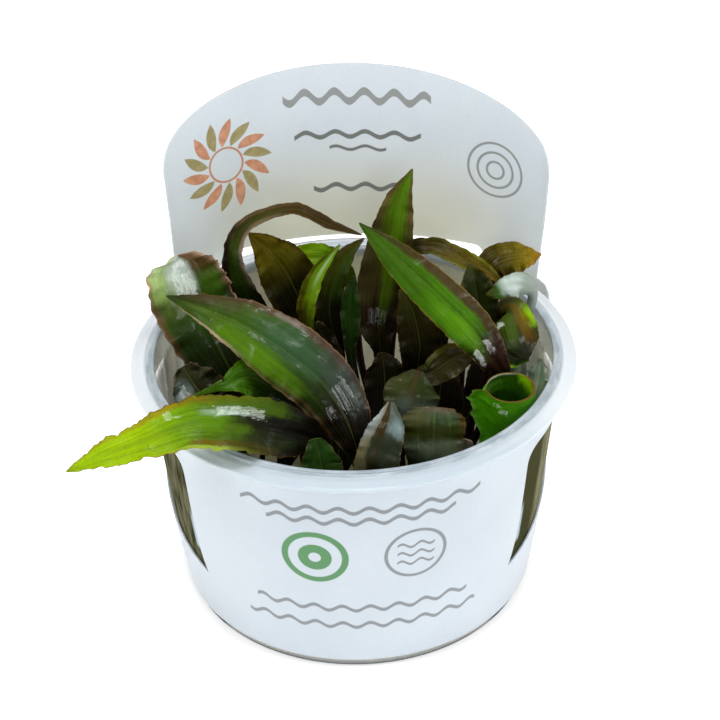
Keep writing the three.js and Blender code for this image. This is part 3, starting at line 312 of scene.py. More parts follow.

# Colours of the leaves: stops from the blade's foot at 0.25 to its tip at 1, for the blade and its margin,
# most running dark near the foot, partly their own colour and partly painted shade deep in the cup;
# blots are soft spots of colour, some of them painted sheen, highlights or light, and gloss is standing
# water, as gloss_masks and leaf_material say
LOOKS = {
    "hanging": dict(
        blade="0.3 0c0804, 0.43 161604, 0.5 26340a, 0.57 3e5c08, 0.66 709c04, 0.8 a4c804, 0.94 a6cc04, "
        "1 8aa40a",
        margin="0.3 0d0b05, 0.44 241c08, 0.52 50440a, 0.62 74680c, 0.72 98900c, 0.85 9ca80c, 1 84701c",
        # Painted highlight: the pale blue-grey blot b4c8c0 beside the midrib
        blots="0.48 -0.15 0.14 0.6 1c1a06 0.9, 0.4 0.2 0.1 1.6 0c0a04 1, 0.56 0.42 0.06 0.2 b4c8c0 1, "
        "0.52 0.7 0.12 0.4 4c6a08 0.7, 0.555 -0.25 0.06 0.5 4c6c08 0.8, 0.45 -0.5 0.1 0.4 1c2808 0.7, "
        "0.585 -0.75 0.1 0.14 6a5410 0.8, 0.6 -0.97 0.12 0.14 9cb040 0.8, 0.5 -0.85 0.08 0.3 3c3810 0.8, "
        "0.6 0.1 0.06 0.4 5c8a06 0.7",
        gloss="0.475 0.6 0.3 0.62 0.75, 0.455 0.5 0.18 0.4 0.75, 0.55 0.6 0.2 0.5 0.75, "
        "0.665 0.71 0.4 0.78 0.6",
        margin_from=(0.93, 0.74), rim="5a2c10", rim_mix=0.8, under="8a9c20", specks=0.3,
        comb=(0.008, 0.0, 0.2), coat=0.15, glow=0.1),
    "broad": dict(
        blade="0.3 120a06, 0.42 140e06, 0.5 203008, 0.58 2c460e, 0.68 365c12, 0.78 486c10, 0.9 405c10, "
        "1 24340a",
        right_blade="0.3 0e0805, 0.45 1e1810, 0.55 2a3414, 0.66 30501c, 0.78 3c5e18, 0.9 363e10, 1 24300a",
        margin="0.3 140a08, 0.5 40302a, 0.65 54402e, 0.8 4a3820, 1 2c2a0c",
        # Painted sheen: the greyish blot 8a8478 near the margin
        blots="0.62 0.2 0.12 0.5 3a5c40 0.5, 0.47 0.5 0.09 0.5 46544c 0.5, 0.68 0.82 0.05 0.16 8a8478 0.6, "
        "0.55 -0.85 0.2 0.12 5a4428 0.5, 0.84 -0.95 0.12 0.12 b8a080 0.9, 0.7 -0.6 0.16 0.4 649404 0.5, "
        "0.85 0.7 0.1 0.4 4a3c24 0.6",
        gloss="0.41 0.5 0 0.6 0.45, 0.42 0.455 -0.45 -0.15 0.4, 0.64 0.66 0.78 0.9 0.6, "
        "0.72 0.735 0.8 0.92 0.6, 0.8 0.81 0.8 0.92 0.6",
        margin_from=(0.9, 0.74), rim="80603e", rim_mix=0.6, comb=(0.015, 0.36, 0.62)),
    "pale_wall": dict(
        # The blade's pale top: partly its own colour, partly painted sheen
        blade="0.3 0c0c02, 0.5 20340a, 0.58 304c0c, 0.66 4c5c24, 0.75 90ac5c, 0.86 b4cc8c, 1 b8c0a0",
        right_blade="0.3 0a0c02, 0.52 162606, 0.62 243c0a, 0.72 34480c, 0.82 54401c, 1 70543a",
        margin="0.3 1a1206, 0.55 2c240e, 0.68 5c4430, 0.8 987858, 1 987e68",
        # Painted sheen: the pale blot c4d0cc
        blots="0.84 -0.1 0.2 0.4 c4d0cc 0.8, 0.6 -1 0.2 0.14 5c4028 0.7, 0.68 0.5 0.1 0.3 3a5c0a 0.5",
        gloss="0.67 0.95 -0.3 0.2 0.6",
        margin_from=(0.95, 0.84), rim="b89a88", rim_mix=0.5, streaks=0.3, comb=(0.008, 0.1, 0.6)),
    "arched": dict(
        blade="0.3 1c2a04, 0.42 2c4406, 0.5 3a5008, 0.58 3a3c10, 0.7 44400e, 0.8 44340e, 1 3a2c0a",
        margin="0.3 1c1206, 0.5 34240e, 0.62 5c4c30, 0.8 4c3a1c, 1 3c2a14",
        blots="0.5 0.8 0.16 0.3 94806a 0.7, 0.46 -0.8 0.14 0.4 161008 0.8, 0.66 0.6 0.1 0.4 786a50 0.5",
        margin_from=(0.5, 0.55), under="3c3214", under_mix=0.8, rim="a08c70", rim_mix=0.6, specks=0.35),
    "dark_olive": dict(
        blade="0.3 060602, 0.58 1a1806, 0.68 4a4508, 0.78 665e0a, 0.9 6c5e0c, 1 64520c",
        margin="0.3 100c06, 0.7 3e320a, 1 5c4a10",
        gloss="0.8 0.812 0 0.08 0.9, 0.775 0.785 -0.12 -0.05 0.9",
        specks=0.3),
    "lime": dict(
        blade="0.3 44560c, 0.5 6c960a, 0.8 8cb808, 1 74980a",
        margin="0.3 4a4a10, 0.6 6c8010, 1 7c8018",
        margin_from=(0.9, 0.9), rim="7a8018", under="4e7c0a", specks=0.1, glow=0.15),
    "lime_edged": dict(
        blade="0.3 3a4008, 0.45 5c7008, 0.62 74980c, 0.8 78a010, 1 6c9418",
        margin="0.3 2c2608, 0.6 5a5610, 1 566010",
        # Painted sheen: the pale blot b8d49c near the tip
        blots="0.5 -0.5 0.2 0.5 4a3408 0.7, 0.86 0.1 0.12 0.3 b8d49c 0.6",
        margin_from=(0.5, 0.95), rim="6a5a1c", under="3c5a0c", specks=0.3, glow=0.1, streaks=0.25),
    "olive_stripe": dict(
        blade="0.3 0a0a03, 0.5 1e2008, 0.62 38400a, 0.75 44480c, 0.88 48400e, 1 4c4418",
        right_blade="0.3 040602, 0.5 101804, 0.62 263a06, 0.8 364a0e, 1 44401c",
        margin="0.3 0e0a06, 0.7 30280c, 1 48401c",
        blots="0.85 0 0.2 0.3 2c4408 0.6"),
    "tall": dict(
        blade="0.3 0c0603, 0.45 281e14, 0.58 40341a, 0.68 485410, 0.8 50700a, 0.92 588006, 1 5a6410",
        margin="0.3 140c06, 0.5 30261a, 0.7 4a4220, 0.85 564c20, 1 5c5020",
        blots="0.45 0 0.1 0.8 1c0e0c 0.7, 0.6 -0.6 0.14 0.4 3c3418 0.6, 0.74 0.15 0.3 0.3 5a8808 0.5",
        gloss="0.42 0.49 -0.5 0.35 0.3",
        margin_from=(0.5, 0.6), rib="7a9418", vein=0.12, specks=0.3, gloss_way="front",
        comb=(0.013, 0.3, 0.75)),
    "green_purple": dict(
        blade="0.28 120604, 0.4 1d1208, 0.48 2c3e0c, 0.56 467a0a, 0.68 447603, 0.8 3c6606, 0.9 40660a, "
        "1 345404",
        margin="0.3 140806, 0.42 2a1c14, 0.52 3c3016, 0.68 44381c, 0.8 403414, 0.92 34380e, 1 2e4a06",
        blots="0.55 -0.35 0.14 0.5 5c9408 0.6, 0.4 0.2 0.07 1 2a140e 0.7",
        gloss="0.395 0.46 -0.8 -0.4 0.9, 0.41 0.48 0 0.4 0.9",
        margin_from=(0.98, 0.48), rim="8a6a2e", rim_mix=0.6, comb=(0.006, 0.05, 0.25)),
    "olive_brown": dict(
        blade="0.3 28220a, 0.5 564a16, 0.7 6a5c14, 0.85 645412, 1 5c4a14",
        margin="0.3 2a220c, 0.55 5a5c0c, 0.7 7a7c14, 0.85 62600e, 1 545418",
        margin_from=(0.7, 0.75), specks=0.45),
    "golden": dict(
        blade="0.3 2c2604, 0.5 4a4004, 0.62 645806, 0.75 847410, 0.88 9c7c14, 1 a86c1c",
        margin="0.3 342a06, 0.6 5c4c08, 0.8 8a7016, 1 a8581c",
        rib="9a8a20", vein=0.14, specks=0.35),
    "dark_green": dict(
        blade="0.3 101404, 0.5 20280a, 0.75 28300c, 0.9 34380c, 1 4a4a12",
        right_blade="0.3 141c05, 0.6 243008, 0.8 1e2604, 1 5a5414",
        margin="0.3 1a160a, 0.7 38340e, 1 54501a",
        vein=0.03),
    "pale_painted_sheen": dict(
        # Partly its own pale colour, partly painted sheen: the pale body and the pale blot c0d0c8
        blade="0.3 98a89c, 0.45 a4b8a8, 0.6 7ca878, 0.72 4c7434, 0.85 3c4410, 1 3c300e",
        margin="0.3 8c9884, 0.5 98a480, 0.8 4c4414, 1 40380e",
        blots="0.5 0.1 0.2 1.2 c0d0c8 0.9, 0.85 0 0.15 0.9 34480c 0.6",
        gloss="0.36 0.6 -0.5 0.7 0.5",
        stem="98a49c", specks=0.1, streaks=0.25, vein=0.03),
    "yellow_green": dict(
        blade="0.3 34400a, 0.45 3c4c0a, 0.6 2c3c08, 0.75 24300a, 0.9 1c2408, 1 161c06",
        margin="0.3 5a4a10, 0.5 4c3c10, 0.7 34300c, 1 201c08",
        blots="0.46 -0.9 0.14 0.5 84b40a 1, 0.5 -0.4 0.3 0.4 6c5408 0.8, 0.55 0.3 0.3 0.3 445c0a 0.7, "
        "0.74 -0.6 0.14 0.4 4c3008 0.6, 0.9 0 0.16 0.8 161408 0.7",
        gloss="0.46 0.54 0.5 0.85 0.8",
        margin_from=(0.9, 0.92), vein=0.1, rib="6a7a10", rib_mix=0.1, streaks=0.4, specks=0.3, glow=0.12,
        comb=(0.006, 0.05, 0.25)),
    "under_olive": dict(
        blade="0.3 182008, 0.55 2c3c10, 0.8 2c3c14, 1 4c6c0c",
        margin="0.3 1c1a0a, 0.55 7cac10, 0.8 7cac10, 1 6c9410",
        blots="0.6 0.1 0.2 0.4 5c685c 0.5",
        margin_from=(0.82, 0.82)),
    "pale_wet": dict(
        blade="0.3 5c6c54, 0.6 94a88c, 0.85 a8b8a4, 1 8c9c84",
        margin="0.3 4c5c44, 0.6 8c9c80, 1 9cac94",
        blots="0.7 0.4 0.2 0.3 4c7444 0.6",
        streaks=0.6, vein=0.12, rib="3c5c2c", rib_mix=0.3),
    "pale_olive": dict(
        blade="0.3 34361c, 0.5 44502c, 0.7 506444, 0.9 64806c, 1 6c8470",
        margin="0.3 3c3a20, 0.6 4c5434, 1 5c6c50",
        blots="0.75 0 0.25 0.6 8ca498 0.6, 0.5 0.2 0.14 0.6 34441c 0.6",
        streaks=0.3),
    "rolled": dict(
        blade="0.3 16300a, 0.5 1c4406, 0.75 2c5c06, 0.9 305c0a, 1 3c6410",
        margin="0.3 20380a, 0.7 3c5c0c, 1 6c6420",
        # Painted light: the bright green blot 8cc40c inside the roll; painted highlight: the near-white blot
        # dce0cc on its rim
        blots="0.94 -0.2 0.14 0.2 8cc40c 1, 1.02 -0.75 0.06 0.4 dce0cc 1.2, 1 0.12 0.06 0.3 6a4c24 1.2",
        gloss="0.86 0.94 0.5 0.62 0.5, 0.76 0.85 0.4 0.54 0.5",
        margin_from=(0.92, 0.94), under="4c9c08", under_mix=0.75, rim="a8a878", rim_mix=0.6, specks=0.2,
        streaks=0.3, gloss_way="front", comb=(0.006, 0.1, 0.4), glow=0.1),
    "grey_brown": dict(
        blade="0.3 14120a, 0.5 343c28, 0.65 444a34, 0.8 383a18, 1 2c2c10",
        margin="0.3 18140c, 0.6 40421c, 0.8 3a3c10, 1 242208",
        # Painted sheen: the grey-green blot 545e54 over the lower blade
        blots="0.5 0 0.2 1.2 545e54 0.8, 0.8 0.5 0.24 0.6 26340c 0.8, 0.8 -0.5 0.2 0.5 343c10 0.7",
        gloss="0.5 0.58 -0.4 -0.2 0.6",
        rib="5c342c", rib_mix=0.5, rib_width=0.14, streaks=0.3, gloss_way="front", comb=(0.006, 0.42, 0.6)),
    "front_veined": dict(
        blade="0.3 12120a, 0.5 40462c, 0.6 242c06, 0.7 2c3c10, 0.8 3a4c30, 0.92 485440, 1 4a4020",
        margin="0.3 1c180c, 0.6 3c2c0c, 0.8 4c3818, 1 5c4c2c",
        blots="0.94 0.2 0.08 0.8 5c4c3c 0.6, 0.8 -0.6 0.16 0.5 54502c 0.6, 0.64 0.1 0.08 1.2 262a04 0.7, "
        "0.48 0 0.1 1.2 4c5844 0.7",
        margin_from=(0.95, 0.8), rib="6c9438", rib_mix=0.14, veins=2, vein=0.1, streaks=0.35),
    "pale_sheen": dict(
        blade="0.3 24261a, 0.5 343a28, 0.62 323828, 0.72 465044, 0.85 5c6a62, 1 5a5c4c",
        margin="0.3 5c5838, 0.5 6c6848, 0.62 7c7860, 0.8 8c8c80, 1 6c6040",
        # Painted sheen: the pale blue-grey blots 84989a and 98a4a4
        blots="0.77 0.5 0.08 0.5 84989a 0.8, 0.78 -0.95 0.2 0.3 98a4a4 0.8, 0.8 -0.25 0.5 0.24 3a2c08 1.2, "
        "0.55 0.3 0.16 0.9 2c3424 0.8",
        margin_from=(0.45, 0.94), gloss_way="front", comb=(0.01, 0.2, 0.5), streaks=0.25, rib_mix=0),
    "short_green": dict(
        blade="0.3 0a1204, 0.6 1e3c08, 0.8 224410, 1 244010",
        margin="0.3 14140a, 0.7 343c18, 1 3c4418"),
    "under_green": dict(
        blade="0.3 081404, 0.45 162a04, 0.55 2c4a04, 0.65 406a04, 0.75 467c04, 0.85 3c6806, 1 4a6c10",
        margin="0.3 141006, 0.5 34300c, 0.7 547c06, 0.9 50600c, 1 5c7818",
        margin_from=(0.95, 0.9), rim="5c4c18", specks=0.15),
    "crumpled": dict(
        blade="0.3 100e08, 0.6 20200e, 0.8 2c2e16, 1 34341c",
        margin="0.3 14120a, 0.7 2c2818, 1 6c644c",
        # Painted highlight: the grey blot 7c8c84 on the gloss patch
        blots="0.72 -0.6 0.14 0.5 7c8c84 0.6",
        gloss="0.64 0.8 -0.95 -0.35 0.4"),
    "olive": dict(
        blade="0.3 14120a, 0.5 2a2808, 0.7 34300c, 1 342e0c",
        margin="0.3 201c0a, 0.6 4c4c18, 0.8 48420e, 1 44400e",
        margin_from=(0.6, 0.95)),
    "brown_olive": dict(
        blade="0.3 0c0804, 0.5 1e1a08, 0.65 2a260a, 0.8 2c2c0c, 1 44420e",
        margin="0.3 100a05, 0.7 261c0a, 1 3c300e",
        specks=0.3),
    # Partly painted shade: near-black and very dark green leaves deep in the cup
    "near_black": dict(
        blade="0.3 0a0603, 0.5 100b06, 0.75 1c160c, 1 24200f",
        margin="0.3 0c0604, 0.7 20160a, 1 302010"),
    "shade_green": dict(
        blade="0.3 080a04, 0.5 101806, 0.75 1c2e08, 1 24360a",
        margin="0.3 100c06, 0.7 201a0a, 1 302a10"),
    "window": dict(
        blade="0.3 2a2812, 0.6 3e3c22, 0.9 48462a, 1 3c3a22",
        margin="0.3 24200f, 0.7 38341c, 1 3c3820",
        vein=0.2, rib="6a6842"),
    "curled_grey": dict(
        blade="0.3 1c1a10, 0.6 4c4a38, 0.9 6a6458, 1 7a6c60",
        margin="0.3 201a10, 0.7 5c5444, 1 84766a",
        gloss="0.7 0.95 -0.4 0.3 0.5",
        gloss_way="front"),
}


def smooth(low, high, value):
    t = np.clip((value - low) / (high - low), 0, 1)
    return t * t * (3 - 2 * t)


def tone(code):
    """Linear colour of a hexadecimal sRGB colour."""
    parts = [int(code[i:i + 2], 16) / 255 for i in (0, 2, 4)]
    return tuple(c / 12.92 if c <= 0.04045 else ((c + 0.055) / 1.055) ** 2.4 for c in parts) + (1.0,)


def new_mesh(name, verts, faces):
    mesh = bpy.data.meshes.new(name)
    mesh.from_pydata(verts, [], faces)
    mesh.update()
    return mesh


def new_object(name, mesh, *materials):
    piece = bpy.data.objects.new(name, mesh)
    bpy.context.scene.collection.objects.link(piece)
    for material in materials:
        mesh.materials.append(material)
    mesh.polygons.foreach_set("use_smooth", [True] * len(mesh.polygons))
    mesh.set_sharp_from_angle(angle=SHARP_ANGLE)
    return piece


def ring_faces(rings, count):
    """Faces between neighbouring rings of points, count points in each."""
    return [(start + j, start + (j + 1) % count, start + count + (j + 1) % count, start + count + j)
            for start in range(0, (rings - 1) * count, count) for j in range(count)]


def without_repeats(corners):
    return tuple(c for i, c in enumerate(corners) if c not in corners[:i])


# Node trees
def operation(name):
    return lambda value, other: value.shader.math(name, value, other)


class Value:
    """What a node gives, written in sums like a plain number; a | b is the larger of the two."""

    __add__ = operation("ADD")
    __sub__ = operation("SUBTRACT")
    __mul__ = operation("MULTIPLY")
    __truediv__ = operation("DIVIDE")
    __pow__ = operation("POWER")
    __gt__ = operation("GREATER_THAN")
    __lt__ = operation("LESS_THAN")
    __or__ = operation("MAXIMUM")

    def __init__(self, shader, socket):
        self.shader = shader
        self.socket = socket

    def __rsub__(self, other):
        return self.shader.math("SUBTRACT", other, self)

    def __abs__(self):
        return self.shader.math("ABSOLUTE", self)


class Shader:
    """A material's node tree, with short calls for its nodes."""

    def __init__(self, name):
        self.material = bpy.data.materials.new(name)
        self.material.use_nodes = True
        self.tree = self.material.node_tree
        self.tree.nodes.clear()
        output = self.tree.nodes.new("ShaderNodeOutputMaterial")
        surface = self.node("ShaderNodeBsdfPrincipled")
        self.feed(output.inputs["Surface"], surface)
        self.surface = surface.socket.node

    def feed(self, target, value):
        """Link a value to a socket, or set the socket to a number, a vector or a hexadecimal colour."""
        if isinstance(value, Value):
            self.tree.links.new(value.socket, target)
        else:
            target.default_value = tone(value) if isinstance(value, str) else value

    def node(self, kind, inputs=(), output=0, **settings):
        made = self.tree.nodes.new(kind)
        for key, value in settings.items():
            setattr(made, key, value)
        for key, value in dict(inputs).items():
            self.feed(made.inputs[key], value)
        return Value(self, made.outputs[output])

    def math(self, name, *values):
        return self.node("ShaderNodeMath", enumerate(values), operation=name)

    def ranged(self, value, low, high, to_low=0.0, to_high=1.0):
        inputs = {"Value": value, "From Min": low, "From Max": high, "To Min": to_low, "To Max": to_high}
        return self.node("ShaderNodeMapRange", inputs, interpolation_type="SMOOTHSTEP")

    def fading(self, value, low, high):
        return self.ranged(value, low, high, 1.0, 0.0)

    def between(self, value, low, high, soft):
        return self.ranged(value, low - soft, low + soft) * self.fading(value, high - soft, high + soft)

    def mix(self, share, first, second, blend="MIX"):
        inputs = {0: share, 6: first, 7: second}
        return self.node("ShaderNodeMix", inputs, 2, data_type="RGBA", blend_type=blend)

    def mix_value(self, share, first, second):
        return self.node("ShaderNodeMix", {0: share, 2: first, 3: second}, data_type="FLOAT")

    def ramp(self, value, text):
        made = self.node("ShaderNodeValToRGB", {0: value})
        bar = made.socket.node.color_ramp.elements
        stops = rows(text)
        while len(bar) < len(stops):
            bar.new(0.5)
        for element, (place, colour) in zip(bar, stops):
            element.position = place
            element.color = tone(colour)
        return made

    def place(self):
        return self.node("ShaderNodeTexCoord", output="Object")

    def parts(self, vector):
        split = self.node("ShaderNodeSeparateXYZ", {0: vector}).socket.node
        return [Value(self, socket) for socket in split.outputs]

    def uv(self, layer):
        return self.parts(self.node("ShaderNodeUVMap", uv_map=layer))[:2]

    def vector(self, *values):
        return self.node("ShaderNodeCombineXYZ", enumerate(values))

    def reach(self, x, y):
        return self.math("SQRT", x * x + y * y)

    def noise(self, vector, size_mm, detail=2.0, roughness=0.5, distortion=0.0):
        inputs = {"Vector": vector, "Scale": 1 / (size_mm * MM), "Detail": detail, "Roughness": roughness,
                  "Distortion": distortion}
        return self.node("ShaderNodeTexNoise", inputs, "Fac")

    def turned(self, share, way):
        """The surface's normal, turned by a share from 0 to 1 towards one fixed direction."""
        normal = self.node("ShaderNodeNewGeometry", output="Normal")
        mixed = self.node("ShaderNodeMix", {0: share, 4: normal, 5: way}, 1, data_type="VECTOR")
        return self.node("ShaderNodeVectorMath", {0: mixed}, operation="NORMALIZE")

    def bump(self, height, depth_mm, strength=1.0, below=None):
        inputs = {"Strength": strength, "Distance": depth_mm * MM, "Height": height}
        if below is not None:
            inputs["Normal"] = below
        return self.node("ShaderNodeBump", inputs)

    def set(self, **values):
        for key, value in values.items():
            self.feed(self.surface.inputs[key.replace("_", " ").title().replace("Ior", "IOR")], value)


# Cup
def sleeve_radius(height):
    z = np.minimum(height, SLEEVE_TOP)
    return BASE_RADIUS + WALL_SLOPE * z - WALL_BEND * z * z


def cup_radius(height):
    return sleeve_radius(height) - CARD_THICKNESS - GAP


def inside_radius(height):
    return cup_radius(height) - WALL_THICKNESS


def corner(middle_r, middle_z, radius, start, end, steps=4):
    """Points of a small rounded corner, angles in degrees."""
    angles = np.radians(np.linspace(start, end, steps))
    return [(middle_r + radius * math.cos(a), middle_z + radius * math.sin(a)) for a in angles]


def cup_profile():
    wall_top = CUP_HEIGHT - BEAD_DEPTH
    top = CUP_HEIGHT - FLANGE_DROOP
    outer = BEAD_OUTER_RADIUS
    inner = BEAD_INNER_RADIUS
    return [
        (0, 0.35), (30, 0.35), (30.6, 0), (cup_radius(1.0) - 1.0, 0),
        *corner(cup_radius(1.0) - 1.0, 1.0, 1.0, -80, -5),
        *[(cup_radius(z), z) for z in np.linspace(2, wall_top, 20)],
        (outer - 0.1, top - 1.7), (outer + 0.3, top - 1.35), (outer + 1.2, top - 1.32),
        *corner(FLANGE_RADIUS - 0.45, top - 1.2, 0.4, -70, 0),
        *corner(FLANGE_RADIUS - 0.45, top - 0.95, 0.4, 10, 85),
        (FLANGE_RADIUS - 1.6, top - 0.35), (FLANGE_RADIUS - 2.0, top - 0.1),
        (FLANGE_RADIUS - 2.7, top - 0.02), (outer + 0.45, top),
        *corner(outer + 0.3, top + 0.25, 0.2, -90, -170, 3),
        *corner(outer - 0.3, CUP_HEIGHT - 0.3, 0.3, 0, 90),
        (46.9, CUP_HEIGHT - 0.02), (46.75, CUP_HEIGHT - 0.16), (46.55, CUP_HEIGHT - 0.16),
        (46.4, CUP_HEIGHT - 0.02),
        *corner(inner + 0.35, CUP_HEIGHT - 0.35, 0.35, 90, 180),
        (inner, CUP_HEIGHT - 1.4), (inner + 0.15, CUP_HEIGHT - 2.0),
        (inside_radius(wall_top) - 0.1, wall_top + 0.4),
        *[(inside_radius(z), z) for z in np.linspace(wall_top, 3.2, 20)],
        *corner(inside_radius(3) - 2.1, FLOOR_THICKNESS + 2.0, 2.0, -5, -85),
        (0, FLOOR_THICKNESS),
    ]


def turned_mesh(name, profile, segments):
    """A closed profile of radius and height pairs, from axis to axis, turned about +Z."""
    verts = []
    faces = []
    rings = []
    for radius, height in profile:
        if radius == 0:
            rings.append([len(verts)] * segments)
            verts.append((0, 0, height * MM))
            continue
        rings.append(list(range(len(verts), len(verts) + segments)))
        for k in range(segments):
            angle = 2 * math.pi * k / segments
            verts.append((radius * math.cos(angle) * MM, radius * math.sin(angle) * MM, height * MM))
    for low, high in zip(rings, rings[1:]):
        for k in range(segments):
            nxt = (k + 1) % segments
            faces.append(without_repeats([low[k], low[nxt], high[nxt], high[k]]))
    return new_mesh(name, verts, [f for f in faces if len(f) > 2])


def clear_cup_material():
    """Clear plastic: bright rim and flange, the flange lit by a painted glow and painted darker at the front;
    plants pressed against the wall as an olive film at the windows, painted in shade and darker on the left;
    inside the windows the wall painted dark low down and pale higher up.
    """
    s = Shader("clear_cup")
    spot = s.place()
    x, y, z = s.parts(spot)
    radius = s.reach(x, y)
    angle = s.math("ARCTAN2", y, x)
    from_front = s.math("ARCTAN2", abs(x), y * -1.0)
    streaks = s.noise(s.vector(angle * 0.02, z, radius), 2.5, 3.0, 0.55)
    cloud = s.noise(spot, 9.0, 2.0)
    pressed = s.noise(s.vector(angle * 0.043, z * 0.16, 0.0), 1.6, 4.0, 0.6)
    # Zones of the cup, each 1 inside and 0 outside
    rim = s.ranged(z, (CUP_HEIGHT - 4.2) * MM, (CUP_HEIGHT - 2.6) * MM)
    flange = s.ranged(radius, (BEAD_OUTER_RADIUS - 0.1) * MM, (BEAD_OUTER_RADIUS + 0.7) * MM)
    foot = s.fading(z, 0.9 * MM, 2.6 * MM)
    window = s.ranged(from_front, 0.8, 0.9) * s.fading(from_front, 1.9, 2.0) * s.fading(z, 50 * MM, 53 * MM)
    middle = z * WALL_SLOPE + (z * z * (-WALL_BEND / MM) + WALL_MIDDLE * MM)
    inner = window * (radius < middle)
    clear = s.fading(from_front, 0.995, 1.015) * s.ranged(z, 22 * MM, 24 * MM) * s.fading(z, 31 * MM, 35 * MM)
    shaded = s.fading(from_front, 0.65, 0.85) * s.fading(z, 51 * MM, 54 * MM) * (radius < middle)
    # How solid each zone looks
    film = s.mix_value(s.ranged(from_front, 1.45, 1.75), s.ranged(pressed, 0.3, 0.7, 0.95, 0.88),
                       s.ranged(pressed, 0.35, 0.65, 0.6, 0.2))
    alpha = s.mix_value(window, s.ranged(cloud, 0.3, 0.8, 0.2, 0.32), film)
    alpha = s.mix_value(inner, alpha, s.ranged(z, 28 * MM, 36 * MM, 0.3, 0.85))
    alpha = s.mix_value(shaded, alpha, 0.9)
    alpha = alpha + rim * (s.ranged(streaks, 0.3, 0.7, 0.6, 0.72) - alpha)
    alpha = alpha + flange * (0.85 - alpha)
    alpha = alpha | foot * 0.6
    # Colour of each zone
    # Painted shade: the olive window film stands for plants pressed on the wall; it is painted darker on the
    # left, and darker at the right window's front end
    left_film_and_shade = s.mix(s.ranged(pressed, 0.36, 0.62), "3a3826", "747258")
    right_film_and_shade = s.mix(s.ranged(pressed, 0.36, 0.62), "6a684c", "8e8c72")
    right_film_and_shade = s.mix(s.ranged(from_front, 1.12, 1.2), "45442c", right_film_and_shade)
    body = s.mix(window, "b0a982", s.mix(clear, s.mix(x > 0.0, left_film_and_shade, right_film_and_shade), "b4c4cc"))
    # Painted shade and light: inside the windows the wall is dark low down and pale beige higher up
    body = s.mix(inner, body, s.mix(s.ranged(z, 30 * MM, 42 * MM), "4c4834", "f0ecd2"))
    body = s.mix(shaded, body, "24200f")
    body = s.mix(rim, body, s.mix(s.ranged(streaks, 0.35, 0.65), "bccad4", "d2dde5"))
    # Painted shade: the flange is darker at the front than at the back
    body = s.mix(flange, body, s.mix(s.ranged(y, -44 * MM, -20 * MM), "c8d5de", "edf3f7"))
    # Dark grey round the foot: partly the dark contents seen through the base, partly painted shade
    body = s.mix(foot, body, "3e464a")
    plain = 1.0 - window
    s.set(base_color=body, roughness=0.13, alpha=alpha, ior=1.49, specular_ior_level=plain * 0.5)
    s.set(coat_weight=plain * 0.4, coat_roughness=0.05, normal=s.bump(cloud, 0.15, 0.4))
    s.set(emission_color=body, emission_strength=flange * FLANGE_GLOW)
    return s.material


def build_cup():
    cup = new_object("clear_cup", turned_mesh("clear_cup", cup_profile(), CUP_SEGMENTS), clear_cup_material())
    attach(cup, "root")
    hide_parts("cup")


# Card sleeve
def bezier(start, first, second, end, steps=12):
    t = np.linspace(0, 1, steps + 1)[1:, None]
    a, b, c, d = (np.array(p, float) for p in (start, first, second, end))
    curve = a * (1 - t) ** 3 + 3 * b * t * (1 - t) ** 2 + 3 * c * t * t * (1 - t) + d * t ** 3
    return [tuple(p) for p in curve]


def bend(start, middle, end, steps=6):
    a, b, c = (np.array(p, float) for p in (start, middle, end))
    return bezier(start, a + (b - a) * 2 / 3, c + (b - c) * 2 / 3, end, steps)


def window_outline():
    """Distance round the cup from the front middle line, then height."""
    points = [(41.7, 17.5)]
    points += bezier(points[-1], (50, 19.5), (60, 21.5), (72, 28.5))
    points += bezier(points[-1], (79, 32.5), (87, 39), (87.5, 45))
    points += bend(points[-1], (87.5, 50.3), (82.5, 50.3))
    points += [(48.5, 50.8)]
    points += bend(points[-1], (43.8, 50.6), (43.7, 46.5))
    points += [(43.6, 31)]
    points += bend(points[-1], (43.4, 23), (41.7, 17.5))[:-1]
    return points


def card_outline():
    """Distance round the card from the back middle line, then height."""
    side = HEADER_HALF_WIDTH + HEADER_FLARE
    points = [(-HALF_ROUND, SLEEVE_BOTTOM), (HALF_ROUND, SLEEVE_BOTTOM), (HALF_ROUND, SLEEVE_TOP)]
    points += [(HEADER_HALF_WIDTH, SLEEVE_TOP), (side, HEADER_SHOULDER)]
    points += bezier(points[-1], (side, HEADER_SHOULDER + SHOULDER_RISE), SHOULDER_KNEE, ARCH_JOIN)
    points += bezier(points[-1], ARCH_RISE, (ARCH_FLAT, HEADER_TOP), (0, HEADER_TOP))
    left = [(-b, z) for b, z in points[4:-1]]
    points += left[::-1]
    points += [(-HEADER_HALF_WIDTH, SLEEVE_TOP), (-HALF_ROUND, SLEEVE_TOP)]
    return points


def slot_outline():
    half = (SLOT_TOP - SLEEVE_TOP) / 2
    end = SLOT_HALF_LENGTH - half
    angles = np.radians(np.linspace(-90, 90, 9))
    right = [(end + half * math.cos(a), SLEEVE_TOP + half + half * math.sin(a)) for a in angles]
    return right + [(-b, z) for b, z in right[::-1]]


